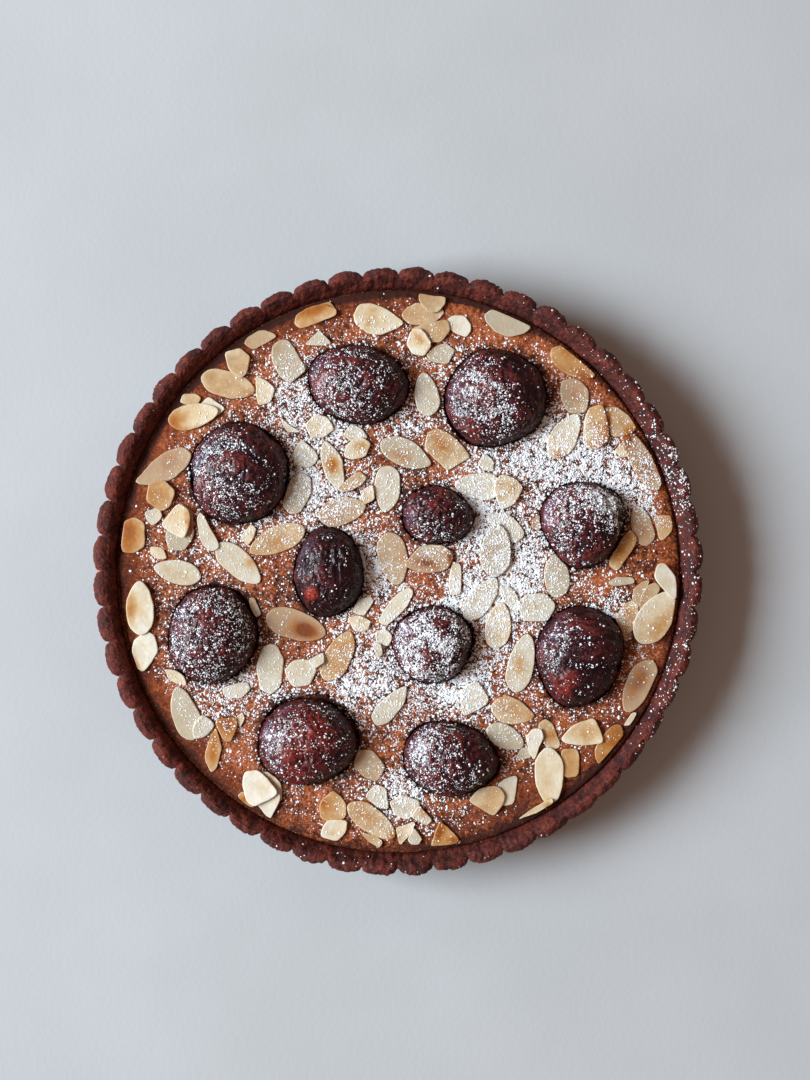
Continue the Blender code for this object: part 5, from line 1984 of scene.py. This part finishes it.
@dataclass
class Sugar:
    """Powdered sugar, scattered by a tree of nodes over all that faces up."""

    # Shape, how many, smallest and largest radius.
    kinds: tuple[tuple[Speck, int, float, float], ...] = (
        (Speck.CRUMB, 48500, 0.18, 0.42),
        (Speck.GRAIN, 24200, 0.22, 0.56),
        (Speck.LUMP, 9600, 0.28, 0.68),
    )
    # Least and most stretch along a speck's own axes, and how far it may lean, in radians.
    least_stretch: tuple[float, float, float] = (0.7, 0.7, 0.4)
    most_stretch: tuple[float, float, float] = (1.35, 1.35, 0.7)
    lean: float = 0.25
    seed: int = 7
    # The least upward share of a face's direction, and the least dust, that hold specks.
    steepest: float = 0.15
    least_dust: float = 0.02

    def ground(self, shapes: list[Shape], crust: Piece) -> Shape:
        """Gathers what the sugar fell on.

        Args:
            shapes: The filling, the flakes and the chestnuts.
            crust: The finished crust.

        Returns:
            One shape with a mask for how thickly the specks lie.
        """
        ground = Shape()
        parts = []
        for shape in shapes:
            masks = {name: np.concatenate(values) for name, values in shape.masks.items()}
            places = np.vstack(shape.places)
            reached = masks.get("open", np.ones(len(places)))
            coarse = masks.get("coarse", np.ones(len(places)))
            parts.append((places, np.vstack(shape.faces), masks["dust"] * reached, coarse))
        loops = np.empty(len(crust.data.polygons) * 3, np.int32)
        crust.data.polygons.foreach_get("vertices", loops)
        rim = read_places(crust) / MM
        parts.append((rim, loops.reshape(-1, 3), read_mask(crust, "dust"), np.ones(len(rim))))
        for places, faces, dust, coarse in parts:
            normal = face_normals(places, faces)
            normal /= np.maximum(np.linalg.norm(normal, axis=1), 1e-12)[:, None]
            kept = (normal[:, 2] > self.steepest) & (dust[faces].min(axis=1) > self.least_dust)
            clump = step_up(rough(places, 2.6, 41), -0.6, 0.8)
            fine = step_up(noise(places, 1.2, 43), -0.35, 0.55)
            thick = dust**1.5 * (0.2 + 2.0 * clump * (0.2 + 0.8 * fine)) / coarse
            ground.add(places, faces[kept], thick=thick, coarse=coarse)
        return ground

    def scatter_tree(self, kind: Speck, material: Material) -> MeshTree:
        """The tree that scatters specks over a mesh.

        Args:
            kind: The specks' shape.
            material: The sugar's finish.

        Returns:
            The tree, with named inputs for how many there are, how wide they are and the seed.
        """
        title, node, sizes = kind.value
        inputs = {"Specks per square metre": "Float", "Smallest": "Float", "Largest": "Float", "Seed": "Int"}
        tree = MeshTree(f"scattered_{title}", inputs)
        ground, density, smallest, largest, seed = tree.given
        values = {"Mesh": ground, "Density": tree.mask("thick") * density, "Seed": seed}
        points = tree.node("GeometryNodeDistributePointsOnFaces", values, distribute_method="RANDOM").outputs
        speck = tree.wire("GeometryNodeSetShadeSmooth", {"Geometry": tree.wire(node, sizes)})
        chance = tree.wire("FunctionNodeRandomValue", {2: 0.0, 3: 1.0, "Seed": seed}, 1, data_type="FLOAT")
        size = (smallest + (largest - smallest) * chance**2.0) * tree.mask("coarse")

        def between(low: tuple[float, ...], high: tuple[float, ...]) -> Wire:
            """Three random values for each speck."""
            limits = {0: low, 1: high, "Seed": seed}
            return tree.wire("FunctionNodeRandomValue", limits, data_type="FLOAT_VECTOR")

        stretch = between(self.least_stretch, self.most_stretch)
        values = {
            "Points": Wire(tree, points["Points"]),
            "Instance": speck,
            "Rotation": Wire(tree, points["Rotation"]),
            "Scale": tree.wire("ShaderNodeVectorMath", {0: stretch, "Scale": size}, operation="SCALE"),
        }
        placed = tree.wire("GeometryNodeInstanceOnPoints", values)
        turn = between((-self.lean, -self.lean, 0.0), (self.lean, self.lean, math.tau))
        tree.finish(tree.wire("GeometryNodeRotateInstances", {"Instances": placed, "Rotation": turn}), material)
        return tree

    def build(self, shapes: list[Shape], crust: Piece, material: Material) -> list[Piece]:
        """Makes the crumbs, the grains and the lumps.

        Args:
            shapes: The filling, the flakes and the chestnuts.
            crust: The finished crust.
            material: The sugar's finish.

        Returns:
            One object for each kind of speck.
        """
        ground = self.ground(shapes, crust)
        faces = np.vstack(ground.faces)
        area = np.linalg.norm(face_normals(np.vstack(ground.places), faces), axis=1) / 2.0
        thick = np.concatenate(ground.masks["thick"])[faces].mean(axis=1)
        whole = float((area * thick).sum()) * MM * MM
        made = []
        for kind, count, smallest, largest in self.kinds:
            sizes = {"Smallest": smallest * MM, "Largest": largest * MM}
            inputs = {"Specks per square metre": count / whole, "Seed": self.seed} | sizes
            tree = self.scatter_tree(kind, material)
            made.append(tree.run(ground.made("ground"), inputs, f"sugar_{kind.value[0]}"))
        return made


# ---------------- studio


@dataclass
class Studio:
    """Camera straight above, soft window light from the left, and a plain pale floor."""

    middle: tuple[float, float] = (2.7, 12.3)
    rim_height: float = 28.0
    camera_height: float = 650.0
    frame_height: float = 423.0
    sensor_height: float = 24.0
    key_power: float = 186.0
    key_colour: Colour = (0.79, 0.92, 1.0)
    key_turn_deg: float = 177.0
    key_rise_deg: float = 36.0
    key_distance: float = 3000.0
    key_size: tuple[float, float] = (1650.0, 1400.0)
    fill: Colour = (1.0, 0.67, 0.51)
    fill_strength: float = 0.27
    floor_half: float = 3000.0
    floor_height: float = -0.02

    def camera(self) -> None:
        """Makes the camera."""
        data = bpy.data.cameras.new("camera")
        data.sensor_fit = "VERTICAL"
        data.sensor_height = self.sensor_height
        data.lens = self.sensor_height / 2.0 / (self.frame_height / 2.0 / self.camera_height)
        data.clip_start = 0.01
        made = in_scene("camera", data)
        made.location = Vector((*self.middle, self.rim_height + self.camera_height)) * MM
        bpy.context.scene.camera = made

    def lights(self) -> None:
        """Makes the window light and the room's own light."""
        turn, rise = math.radians(self.key_turn_deg), math.radians(self.key_rise_deg)
        away = Vector((math.cos(turn) * math.cos(rise), math.sin(turn) * math.cos(rise), math.sin(rise)))
        data = bpy.data.lights.new("window", "AREA")
        data.shape = "RECTANGLE"
        data.size, data.size_y = (size * MM for size in self.key_size)
        data.energy = self.key_power
        data.color = self.key_colour
        made = in_scene("window", data)
        made.location = away * self.key_distance * MM
        made.rotation_euler = away.to_track_quat("Z", "Y").to_euler()
        world = bpy.data.worlds.new("room")
        world.use_nodes = True
        back = world.node_tree.nodes["Background"]
        back.inputs["Color"].default_value = (*self.fill, 1.0)
        back.inputs["Strength"].default_value = self.fill_strength
        bpy.context.scene.world = world
        bpy.context.scene.view_settings.view_transform = "Standard"

    def floor(self) -> Piece:
        """Makes the floor.

        Returns:
            The floor.
        """
        corners = self.floor_half * np.array([[-1, -1], [1, -1], [1, 1], [-1, 1]])
        shape = Shape().add(upright(corners, self.floor_height), np.array([[0, 1, 2], [0, 2, 3]]))
        return shape.made("floor", FloorFinish().material())


# ---------------- all together


def place(piece: Piece, slot: str, *nodes: str) -> None:
    """Lets a piece ride on the tart, hides the solids that it replaces and logs its triangles.

    Args:
        piece: The piece.
        slot: Its material slot; not used.
        nodes: The solids that it replaces.
    """
    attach(piece, "root")
    if nodes:
        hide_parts(*nodes)
    LOG.info("%s: %d triangles", piece.name, sum(len(face.vertices) - 2 for face in piece.data.polygons))


def main() -> None:
    """Builds the looks of the tart and its studio."""
    logging.basicConfig(level=logging.INFO, format="%(message)s")
    studio = Studio()
    studio.camera()
    studio.lights()

    filling = Filling()
    almonds = AlmondFlakes(filling)
    almonds.lay()
    filling_shape = filling.build([flake.outline for flake in almonds.flakes])
    almond_shape = almonds.build()
    crust = Crust().build(CrustFinish().material())
    nut_shapes = [nut.build(filling) for nut in CHESTNUTS]
    sugar = Sugar().build([filling_shape, almond_shape, *nut_shapes], crust, SugarFinish().material())

    place(crust, "crust", "crust")
    place(filling_shape.made("filling_baked", FillingFinish().material()), "filling", "filling")
    place(almond_shape.made("almond_flakes", AlmondFinish().material()), "almond", "filling")
    for nut, shape in zip(CHESTNUTS, nut_shapes):
        number = f"{nut.number:02d}"
        skin = shape.made(f"chestnut_skin_{number}", ChestnutFinish(f"chestnut_finish_{number}").material())
        place(skin, "chestnut", f"chestnut_{number}")
    for piece in sugar:
        place(piece, "sugar")
    studio.floor()


if __name__ == "__main__":
    main()
